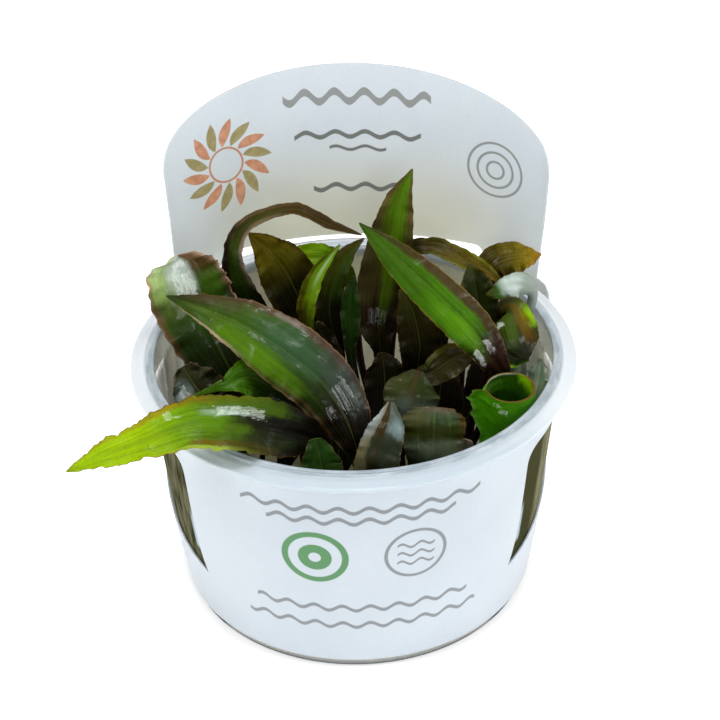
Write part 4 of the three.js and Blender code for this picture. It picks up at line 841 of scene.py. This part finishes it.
def flat_card():
    curve = bpy.data.curves.new("flat_card", "CURVE")
    curve.dimensions = "2D"
    curve.fill_mode = "BOTH"
    right_window = [(HALF_ROUND - d, z) for d, z in window_outline()]
    left_window = [(-b, z) for b, z in right_window]
    for outline in (card_outline(), slot_outline(), right_window, left_window):
        spline = curve.splines.new("POLY")
        spline.points.add(len(outline) - 1)
        spline.use_cyclic_u = True
        for point, (b, z) in zip(spline.points, outline):
            point.co = (b, z, 0, 1)
    piece = bpy.data.objects.new("flat_card", curve)
    bm = bmesh.new()
    bm.from_mesh(piece.to_mesh())
    piece.to_mesh_clear()
    bpy.data.objects.remove(piece)
    bmesh.ops.remove_doubles(bm, verts=bm.verts, dist=JOIN_DISTANCE)
    bmesh.ops.dissolve_limit(bm, angle_limit=0.01, verts=bm.verts, edges=bm.edges)
    for axis, step, low, high in ((0, CARD_CELL[0], -HALF_ROUND, HALF_ROUND),
                                  (1, CARD_CELL[1], SLEEVE_BOTTOM, HEADER_TOP)):
        for cut in np.arange(low + step, high, step):
            spot = [0, 0, 0]
            way = [0, 0, 0]
            spot[axis] = cut
            way[axis] = 1
            everything = bm.verts[:] + bm.edges[:] + bm.faces[:]
            bmesh.ops.bisect_plane(bm, geom=everything, plane_co=spot, plane_no=way, dist=JOIN_DISTANCE)
    return bm


def shape_card(b, z):
    """From the flat layout to the real card: a cone on the cup, an upright curved header behind it."""
    side = -1 if b < 0 else 1
    angle = side * (math.pi - abs(b) / CARD_LAYOUT_RADIUS)
    radius = sleeve_radius(z) - CARD_THICKNESS / 2
    turn = abs(b) / HEADER_PLAN_RADIUS
    upper = smooth(SLEEVE_TOP, HEADER_SHOULDER, z)
    shift = HEADER_SHIFT * smooth(HEADER_BEND_START, HEADER_SHOULDER, z)
    card_x = side * HEADER_PLAN_RADIUS * math.sin(turn) + shift
    back_y = HEADER_BACK + HEADER_LEAN * max(z - SLEEVE_TOP, 0)
    card_y = back_y - HEADER_PLAN_RADIUS * (1 - math.cos(turn))
    behind = 1 - smooth(HEADER_HALF_WIDTH, HEADER_HALF_WIDTH * HEADER_BEND_REACH, abs(b))
    blend = behind * smooth(HEADER_BEND_START, SLEEVE_TOP, z)
    x = radius * math.sin(angle) * (1 - blend) + card_x * blend
    y = -radius * math.cos(angle) * (1 - blend) + card_y * blend
    return x, y, z - HEADER_TILT * card_x * upper


def card_mesh():
    bm = flat_card()
    back = bm.loops.layers.uv.new("back")
    front = bm.loops.layers.uv.new("front")
    for face in bm.faces:
        right_side = face.calc_center_median().x > 0
        for loop in face.loops:
            b, z = loop.vert.co.x, loop.vert.co.y
            round_front = HALF_ROUND - b if right_side else -HALF_ROUND - b
            loop[back].uv = (b, z)
            loop[front].uv = (round_front, z)
    for vert in bm.verts:
        vert.co = Vector(shape_card(vert.co.x, vert.co.y)) * MM
    bmesh.ops.remove_doubles(bm, verts=bm.verts, dist=0.02 * MM)
    bmesh.ops.recalc_face_normals(bm, faces=bm.faces)
    outward = sum(f.normal.to_2d().dot(f.calc_center_median().to_2d()) for f in bm.faces)
    if outward < 0:
        bmesh.ops.reverse_faces(bm, faces=bm.faces)
    mesh = bpy.data.meshes.new("card_sleeve")
    bm.to_mesh(mesh)
    bm.free()
    return mesh


# Printed motifs, each a mask from 0 to 1 over a flat layout in millimetres
def line_mask(s, away, width):
    return s.fading(away, (width - SOFT_EDGE) / 2, (width + SOFT_EDGE) / 2)


def ring_mask(s, x, z, middle, radius, width):
    return line_mask(s, abs(s.reach(x - middle[0], z - middle[1]) - radius), width)


def wave_mask(s, x, z, middle, half_length, rise, pitch, width):
    dx = x - middle[0]
    swing = s.math("SINE", dx * (2 * math.pi / pitch)) * rise
    line = line_mask(s, abs(z - middle[1] - swing), width)
    return line * s.fading(abs(dx), half_length - SOFT_EDGE, half_length)


def wreath_masks(s, x, z, middle, radius, length, half_width, count):
    """Small leaves set round a circle; the second result is 1 on every other leaf."""
    dx = x - middle[0]
    dz = z - middle[1]
    reach = s.reach(dx, dz)
    out = reach - radius
    turn = s.math("ARCTAN2", dz, dx) * (count / (2 * math.pi)) + out * 0.09 + count
    across = (s.math("FRACT", turn) - 0.5) * reach * (2 * math.pi / count)
    along = out / (length / 2)
    edge = (1.0 - along * along) * half_width - abs(across)
    odd = s.math("FRACT", s.math("FLOOR", turn) * 0.5) > 0.25
    return s.ranged(edge, 0.0, SOFT_EDGE), odd


def card_material(name, layer, motifs, glow):
    """White coated card that lets light through, with a faint beige painted glow as strong as glow; motifs(s,
    x, z, colour, spot) prints over its colour.
    """
    s = Shader(name)
    spot = s.place()
    x, z = s.uv(layer)
    fibre = s.noise(spot, 0.9, 4.0, 0.6)
    colour = s.mix(s.ranged(s.noise(spot, 22.0, 2.0), 0.3, 0.7), "c6cfd8", "cbd4dc")
    colour = s.mix(s.ranged(fibre, 0.35, 0.75, 0.0, 0.12), colour, "b0b8bc")
    colour = motifs(s, x, z, colour, spot)
    s.set(base_color=colour, roughness=0.42, ior=1.45, coat_weight=0.12, coat_roughness=0.25)
    s.set(subsurface_weight=0.45, subsurface_scale=0.8 * MM, subsurface_radius=(1.0, 1.0, 1.0))
    # Painted light: a faint beige glow for light coming through the card from behind
    s.set(emission_color=s.mix(0.35, colour, "d8d2a8"), emission_strength=glow)
    s.set(normal=s.bump(fibre, 0.03, 0.35))
    return s.material


def front_motifs(s, x, z, colour, spot):
    """Front panel: two rings, one with a drop of three waves, and bands of waves."""
    for height, half in ((50.6, 27), (47.4, 21), (20.5, 26), (15.0, 29)):
        colour = s.mix(wave_mask(s, x, z, (1.0, height), half, 0.75, 6.5, 1.1), colour, GREY_INK)
    green = ring_mask(s, x, z, (-9.5, 36.3), 6.8, 1.5) | ring_mask(s, x, z, (-9.5, 36.3), 2.6, 2.4)
    colour = s.mix(green, colour, GREEN_INK)
    grey = ring_mask(s, x, z, (13.0, 36.3), 6.8, 0.8)
    for step in (-2.6, 0, 2.6):
        grey = grey | wave_mask(s, x, z, (13.0, 36.3 + step), 4.4, 0.6, 4.4, 0.7)
    return s.mix(grey, colour, GREY_INK)


def header_motifs(s, x, z, colour, spot):
    """Header: a wreath of small leaves, three ripples and bands of waves; beige painted shade on the card
    lower down and towards the middle.
    """
    # Painted shade: beige, strongest low down and towards the middle
    low = s.ranged(z, 64.0, 92.0, 0.75, 0.0) * s.ranged(abs(x), 20.0, 46.0, 1.0, 0.25)
    colour = s.mix(low, colour, "c9c7b0")
    leaf_mask, odd = wreath_masks(s, x, z, (-32.5, 84.0), 8.2, 7.4, 1.5, 14)
    patch = s.ranged(s.noise(spot, 1.6, 3.0), 0.35, 0.65)
    ink = s.mix(odd, s.mix(patch, OLIVE_INK, "9c8f62"), s.mix(patch, RED_INK, "c48d6e"))
    colour = s.mix(leaf_mask, colour, ink)
    colour = s.mix(ring_mask(s, x, z, (-32.5, 84.0), 4.3, 0.5), colour, RED_INK)
    grey = ring_mask(s, x, z, (34.5, 83.5), 7.0, 0.6)
    for radius in (4.6, 2.2):
        grey = grey | ring_mask(s, x, z, (34.5, 83.5), radius, 0.6)
    colour = s.mix(grey, colour, GREY_INK)
    for height, half, rise, width, ink in ((98.2, 18, 1.3, 2.0, GREY_INK), (88.4, 15.5, 0.7, 1.2, DARK_INK),
                                           (84.8, 7, 0.5, 0.8, DARK_INK), (74.5, 11, 0.7, 1.2, DARK_INK)):
        colour = s.mix(wave_mask(s, x, z, (0.3, height), half, rise, 7.2, width), colour, ink)
    return colour


def outside_motifs(s, x, z, colour, spot):
    """Outside of the card: the front panel, and three grey bands on the header's back."""
    back_x, back_z = s.uv("back")
    for height, half in ((92.0, 24), (86.5, 24), (81.0, 16)):
        colour = s.mix(wave_mask(s, back_x, back_z, (0, height), half, 0.7, 7.2, 1.1), colour, GREY_INK)
    return front_motifs(s, x, z, colour, spot)


def build_sleeve():
    outside = card_material("card_outside", "front", outside_motifs, 0.0)
    inside = card_material("card_inside", "back", header_motifs, CARD_GLOW)
    sleeve = new_object("card_sleeve", card_mesh(), outside, inside)
    thicken = sleeve.modifiers.new("thickness", "SOLIDIFY")
    thicken.thickness = CARD_THICKNESS * MM
    thicken.offset = 0
    thicken.material_offset = 1
    bpy.context.view_layer.update()
    graph = bpy.context.evaluated_depsgraph_get()
    thick_mesh = bpy.data.meshes.new_from_object(sleeve.evaluated_get(graph))
    sleeve.modifiers.clear()
    sleeve.data = thick_mesh
    sleeve.data.set_sharp_from_angle(angle=SHARP_ANGLE)
    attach(sleeve, "root")
    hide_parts("label_sleeve")


# Leaves
def steps_along(count, t):
    """For every share t of a list's length: the entry before it, and how far it is to the next."""
    scaled = np.clip(t, 0, 1) * (count - 1)
    index = np.minimum(scaled.astype(int), max(count - 2, 0))
    return index, (scaled - index)[:, None]


def through_points(points, t):
    """Smooth curve through points, at every t of an array."""
    pts = np.array(points, float)
    index, f = steps_along(len(pts), t)
    a, b, c, d = (pts[np.clip(index + k, 0, len(pts) - 1)] for k in (-1, 0, 1, 2))
    bends = (2 * a - 5 * b + 4 * c - d) * f ** 2 + (3 * b - a - 3 * c + d) * f ** 3
    return 0.5 * (2 * b + (c - a) * f + bends)


def along_list(vectors, t):
    vecs = np.array(vectors, float)
    index, share = steps_along(len(vecs), t)
    return vecs[index] * (1 - share) + vecs[np.minimum(index + 1, len(vecs) - 1)] * share


def unit(vectors):
    return vectors / np.maximum(np.linalg.norm(vectors, axis=1), 1e-9)[:, None]


def summed(slope, spans):
    """Running sum across the leaf's width from -1 to 1, zero on its middle line."""
    steps = (slope[:, 1:] + slope[:, :-1]) / spans
    total = np.concatenate([np.zeros((len(slope), 1)), np.cumsum(steps, axis=1)], axis=1)
    return total - total[:, spans // 2][:, None]


def waves(shape, u, half, path, number):
    """Height of a blade's waves, ripples and crease, and how far its teeth reach, at every point of it."""
    shift = np.random.default_rng(number).uniform(0, 6.28, 6)
    swell = np.where(u < 0, 0.0, 2.1)
    pitch = shape["wave_pitch"]
    wave = np.sin(path * 6.283 / pitch + shift[0] + swell)
    wave += 0.5 * np.sin(path * 6.283 / (pitch * 0.43) + shift[1] - swell)
    height = wave * shape["wave"] * np.abs(u) ** 2.2
    quick = np.sin(path * 2.1 + shift[2] + swell * 3) * np.sin(path * 0.83 + shift[3] - swell)
    height += shape["ripple"] * quick * np.abs(u) ** 4
    height -= shape["crease"] * np.exp(-(u * half / 0.7) ** 2)
    height += 0.09 * np.sin(u * 9.4 + shift[3]) * np.sin(path / 2.7 + shift[4])
    teeth = 0.5 * np.sin(path * 3.1 + shift[4] + swell) + 0.6 * np.sin(path * 1.37 + shift[5] - swell)
    teeth += 0.5 * np.sin(path * 4.9 + shift[0] - swell) * np.sin(path * 0.61 + shift[1])
    return height, shape["teeth"] * teeth / np.maximum(half, 1) * np.abs(u) ** 8


def leaf_mesh(name, entry, number):
    """A grown leaf: round petiole, thin blade with a grooved midrib and a waved, finely toothed margin."""
    shape, stem, spans = entry["shape"], entry["stem"], entry["spans"]
    crown_x, crown_y = CROWNS[entry["crown"] - 1]
    start_angle = math.radians(entry["turn"])
    foot = [crown_x + LEAF_START_RADIUS * math.cos(start_angle),
            crown_y + LEAF_START_RADIUS * math.sin(start_angle), LEAF_START_HEIGHT, STEM_HALF_WIDTH]
    spine = [foot] + entry["points"]
    length = np.linalg.norm(np.diff(np.array(spine)[:, :3], axis=0), axis=1).sum()
    stations = int(length / LEAF_CELL)
    t = np.linspace(0, 1, stations + 1)
    curve = through_points(spine, t)
    middle = curve[:, :3]
    tangent = unit(through_points(spine, t + 1e-3)[:, :3] - through_points(spine, t - 1e-3)[:, :3])
    side = unit(np.cross(tangent, along_list(entry["face"], t)))
    normal = np.cross(side, tangent)
    bladeness = smooth(stem - BLADE_START_SPREAD, stem + BLADE_START_SPREAD, t)[:, None]
    half = np.maximum(curve[:, 3], 0.12)[:, None]
    thick = STEM_HALF_THICKNESS * (1 - bladeness) + BLADE_HALF_THICKNESS * bladeness
    thick = np.minimum(thick, np.where(t[:, None] > 0.5, np.maximum(half * 0.5, 0.1), thick))
    u = np.linspace(-1, 1, spans + 1)
    flap_from, flap_turn = shape["flap"]
    lean = np.minimum(u, flap_from) * entry["roll"] - np.maximum(u - flap_from, 0) * flap_turn
    lean = lean[None, :] * bladeness
    across = summed(np.cos(lean), spans)
    raised = summed(np.sin(lean), spans)
    wide = np.minimum(half / 3, 1) * bladeness
    height, teeth = waves(shape, u, half, t[:, None] * length, number)
    reach = 1 + teeth * wide
    profile = np.where(bladeness < 0.5, 1 - u * u, 1 - 0.8 * u * u) * (np.abs(u) < 0.999)
    sheets = []
    for sign, pick in ((1, slice(None)), (-1, slice(-2, 0, -1))):
        rise = sign * thick * profile[:, pick]
        sideways = across[:, pick] * half * reach[:, pick] - rise * np.sin(lean[:, pick])
        upwards = raised[:, pick] * half + rise * np.cos(lean[:, pick]) + (height * wide)[:, pick]
        off = side[:, None] * sideways[..., None]
        sheets.append(middle[:, None] + off + normal[:, None] * upwards[..., None])
    points = np.concatenate(sheets, axis=1).reshape(-1, 3) * MM
    share = np.where(t < stem, BLADE_FROM * t / stem, 1 - (1 - BLADE_FROM) * (1 - t) / (1 - stem))
    ring = 2 * spans
    faces = ring_faces(stations + 1, ring)
    places = []
    for k in range(stations):
        for j in range(ring):
            low, high = (j, j + 1) if j < spans else (ring - j, ring - j - 1)
            under = 0 if j < spans else 2
            low, high = low / spans + under, high / spans + under
            places += [(low, share[k]), (high, share[k]), (high, share[k + 1]), (low, share[k + 1])]
    end = stations * ring
    for j in range(spans):
        corners = without_repeats([j, j + 1, ring - j - 1, (ring - j) % ring])
        faces += [corners[::-1], tuple(end + c for c in corners)]
        places += [(0.5, 0.0)] * len(corners) + [(0.5, 1.0)] * len(corners)
    mesh = new_mesh(name, points.tolist(), faces)
    mesh.uv_layers.new(name="leaf").data.foreach_set("uv", np.array(places, float).ravel())
    return mesh


def gloss_masks(s, look, u, t, spot):
    """Where water stands on the blade, in ragged patches streaked along the veins, and how it shines.

    Each patch: from and to along the blade, from and to across it, and its strength.
    """
    ragged = (s.noise(spot, 2.2, 3.0, 0.6) - 0.5) * 0.35
    long_way = t + ragged * 0.35
    wide_way = u + ragged
    width, dull, clear = look["comb"]
    streak = s.ranged(s.noise(s.vector(u * width, t * 0.008, 0.0), 1.0, 3.0, 0.6), dull, clear)
    mask = 0.0
    shine = 0.0
    for low, high, left_end, right_end, strength in rows(look["gloss"]):
        patch = s.between(long_way, low, high, 0.01) * s.between(wide_way, left_end, right_end, 0.04)
        mask = patch | mask
        shine = patch * strength | shine
    return mask, streak * shine


def leaf_material(name, look):
    """Wet leaf: colours along and across the blade, parallel veins, mottling and a film of water."""
    look = {**LEAF_LOOK, **look}
    s = Shader(name)
    spot = s.place()
    raw_u, t = s.uv("leaf")
    under = raw_u > 1.5
    u = (raw_u - under * 2.0 - 0.5) * 2.0
    blotch = s.noise(spot, 4.5, 3.0, 0.6)
    fine = s.noise(spot, 0.55, 3.0, 0.6)
    wander = (blotch - 0.5) * 0.5
    t_shaken = t + (blotch - 0.5) * 0.12
    blade = s.ramp(t_shaken, look["blade"])
    if "right_blade" in look:
        blade = s.mix(s.ranged(u + wander, -0.15, 0.35), blade, s.ramp(t_shaken, look["right_blade"]))
    # Cells between the veins, lighter or darker from one to the next
    cells = s.noise(s.vector(u * 0.010, t * 0.003, blotch * 0.001), 1.6, 4.0, 0.65)
    blade = s.mix(s.ranged(cells, 0.3, 0.7, 0.0, look["streaks"]), blade, look["shade"], "MULTIPLY")
    left_from, right_from = look["margin_from"]
    left_edge = s.ranged((u * -1.0 | 0.0) + wander, left_from - 0.08, left_from + 0.14)
    right_edge = s.ranged((u | 0.0) + wander, right_from - 0.08, right_from + 0.14)
    colour = s.mix(left_edge | right_edge, blade, s.ramp(t_shaken, look["margin"]))
    # Veins that run with the midrib
    lines = abs(s.math("COSINE", u * (math.pi * look["veins"])))
    lines = s.ranged(lines + (fine - 0.5) * 0.1, 0.93, 1.0)
    rib = s.fading(abs(u), look["rib_width"] * 0.4, look["rib_width"])
    veins = lines * look["vein"] | rib * look["rib_mix"]
    on_blade = s.ranged(t, BLADE_FROM - 0.03, BLADE_FROM + 0.06)
    colour = s.mix(veins * on_blade, colour, look["rib"])
    # Fine mottling, and a thin line along the margin
    colour = s.mix(s.ranged(fine, 0.52, 0.72, 0.0, look["specks"]), colour, look["speck"])
    rim = s.ranged(abs(u) + (fine - 0.5) * 0.08, 0.93, 0.99, 0.0, look["rim_mix"])
    colour = s.mix(rim * on_blade, colour, look["rim"])
    # Soft blots of colour, some of them painted sheen, highlights or light, each round a place on the blade:
    # along it, across it, both reaches, colour and strength
    u_shaken = u + (wander + (cells - 0.5)) * 0.6
    for along, over, long_reach, wide_reach, paint, strength in rows(look["blots"]):
        away = ((t_shaken - along) / long_reach) ** 2.0 + ((u_shaken - over) / wide_reach) ** 2.0
        colour = s.mix(s.fading(away, 0.0, 2.0) ** 2.0 * strength, colour, paint)
    colour = s.mix(s.ranged(t, BLADE_FROM - 0.06, BLADE_FROM + 0.05), look["stem"], colour)
    colour = s.mix(under * look["under_mix"], colour, look["under"])
    # Film of water: smooth where it stands, broken up between
    wet = s.noise(spot, 5.0, 2.0, 0.5, 0.5)
    puddle, shine = gloss_masks(s, look, u, t, spot)
    film = s.ranged(wet, 0.46, 0.66, 0.04, 0.5) * look["coat"] * (1.0 - puddle)
    s.set(base_color=colour, roughness=0.42, ior=1.4, specular_ior_level=0.12)
    s.set(coat_weight=film + shine, coat_roughness=0.06)
    s.set(subsurface_weight=look["glow"], subsurface_scale=0.6 * MM, subsurface_radius=(0.9, 1.0, 0.25))
    relief = lines * 0.5 + cells * 0.6 + fine * 0.35
    s.set(normal=s.bump(relief, 0.12, 0.6, s.bump(wet, 0.6, 0.5)))
    facing = s.turned(puddle, GLOSS_WAYS[look["gloss_way"]])
    s.set(coat_normal=s.bump(wet * 1.2 + cells * 0.35, 0.6, 0.6, facing))
    return s.material


def build_leaves():
    materials = {name: leaf_material(f"leaf_{name}", look) for name, look in LOOKS.items()}
    for number, entry in enumerate(LEAVES, start=1):
        node = f"leaf_{number:02d}"
        piece = new_object(f"fine_{node}", leaf_mesh(f"fine_{node}", entry, number), materials[entry["look"]])
        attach(piece, "root")
        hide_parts(node)


# Crowns and growing gel
def crown_mesh(name, number, x, y):
    """A short fibrous crown, ribbed by the feet of its leaves."""
    rng = np.random.default_rng(100 + number)
    verts = []
    for h in np.linspace(0, 1, CROWN_RINGS):
        girth = CROWN_RADIUS * (0.72 + 0.3 * math.sin(math.pi * min(h * 1.1, 1)) - 0.55 * h ** 3)
        for k in range(CROWN_SEGMENTS):
            angle = 2 * math.pi * k / CROWN_SEGMENTS
            radius = girth * (0.94 + 0.05 * math.sin(5 * angle + 6 * h)) + rng.uniform(-0.04, 0.04)
            verts.append(((x + radius * math.cos(angle)) * MM, (y + radius * math.sin(angle)) * MM,
                          (CROWN_FOOT + CROWN_HEIGHT * h) * MM))
    faces = ring_faces(CROWN_RINGS, CROWN_SEGMENTS)
    faces.append(tuple(range(CROWN_SEGMENTS))[::-1])
    faces.append(tuple((CROWN_RINGS - 1) * CROWN_SEGMENTS + j for j in range(CROWN_SEGMENTS)))
    return new_mesh(name, verts, faces)


def crown_material():
    s = Shader("crown")
    x, y, z = s.parts(s.place())
    fibre = s.noise(s.vector(x, y, z * 0.2), 0.5, 3.0)
    colour = s.mix(s.ranged(z, 11 * MM, 16 * MM), "7a6a48", "4a5228")
    colour = s.mix(s.ranged(fibre, 0.4, 0.65, 0.0, 0.6), colour, "2e2415")
    s.set(base_color=colour, roughness=0.5, normal=s.bump(fibre, 0.25, 0.7))
    return s.material


def build_crowns():
    material = crown_material()
    for number, (x, y) in enumerate(CROWNS, start=1):
        name = f"fine_crown_{number}"
        crown = new_object(name, crown_mesh(name, number, x, y), material)
        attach(crown, "root")
        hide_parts(f"crown_{number}")


def dress_gel():
    s = Shader("growing_gel")
    spot = s.place()
    cloud = s.noise(spot, 7.0, 4.0, 0.6)
    colour = s.mix(s.ranged(cloud, 0.35, 0.65), "55523c", "6e6b50")
    colour = s.mix(s.ranged(s.noise(spot, 0.8, 2.0), 0.62, 0.75, 0.0, 0.5), colour, "5a5236")
    s.set(base_color=colour, roughness=0.2, coat_weight=0.5, coat_roughness=0.05)
    s.set(normal=s.bump(cloud, 0.5, 0.5))
    NODES["growing_gel"].data.materials.clear()
    NODES["growing_gel"].data.materials.append(s.material)


# Studio
def build_floor():
    size = FLOOR_HALF_SIZE
    corners = [(-size, -size, 0), (size, -size, 0), (size, size, 0), (-size, size, 0)]
    s = Shader("studio_floor")
    haze = s.noise(s.place(), 60.0, 2.0)
    s.set(base_color=s.mix(haze, "fafafa", "ffffff"), roughness=0.9, specular_ior_level=0.1)
    s.set(emission_color="ffffff", emission_strength=FLOOR_GLOW)
    floor = new_object("studio_floor", new_mesh("studio_floor", corners, [(0, 1, 2, 3)]), s.material)


def build_light():
    world = bpy.data.worlds.new("studio")
    world.use_nodes = True
    world.node_tree.nodes["Background"].inputs[0].default_value = (1.0, 1.0, 1.0, 1.0)
    world.node_tree.nodes["Background"].inputs[1].default_value = WORLD_STRENGTH
    bpy.context.scene.world = world
    for name, (spot, size, power) in STUDIO_LIGHTS.items():
        light = bpy.data.lights.new(name, "AREA")
        light.shape = "RECTANGLE"
        light.size, light.size_y = size
        light.energy = power
        lamp = bpy.data.objects.new(name, light)
        bpy.context.scene.collection.objects.link(lamp)
        lamp.location = spot
        lamp.rotation_euler = (Vector(LIGHT_AIM) - Vector(spot)).to_track_quat("-Z", "Y").to_euler()


def build_camera():
    """The photograph's own view, found from the cup's rim, base and walls."""
    elevation = math.radians(CAMERA_ELEVATION)
    roll = math.radians(CAMERA_ROLL)
    back = Vector((0, -math.cos(elevation), math.sin(elevation)))
    right = Vector((1, 0, 0))
    up = back.cross(right)
    turned_right = right * math.cos(roll) + up * math.sin(roll)
    turned_up = up * math.cos(roll) - right * math.sin(roll)
    data = bpy.data.cameras.new("photo_camera")
    data.sensor_width = SENSOR_WIDTH
    data.lens = FOCAL_PIXELS * SENSOR_WIDTH / PICTURE_SIZE
    data.clip_start = 0.01
    data.clip_end = 20
    camera = bpy.data.objects.new("photo_camera", data)
    bpy.context.scene.collection.objects.link(camera)
    turn = Matrix((turned_right, turned_up, back)).transposed().to_4x4()
    camera.matrix_world = Matrix.Translation((Vector(CAMERA_AIM) + back * CAMERA_DISTANCE) * MM) @ turn
    bpy.context.scene.camera = camera


build_camera()
build_light()
build_floor()
build_cup()
build_sleeve()
build_crowns()
dress_gel()
build_leaves()
bpy.context.scene.view_settings.view_transform = "Standard"
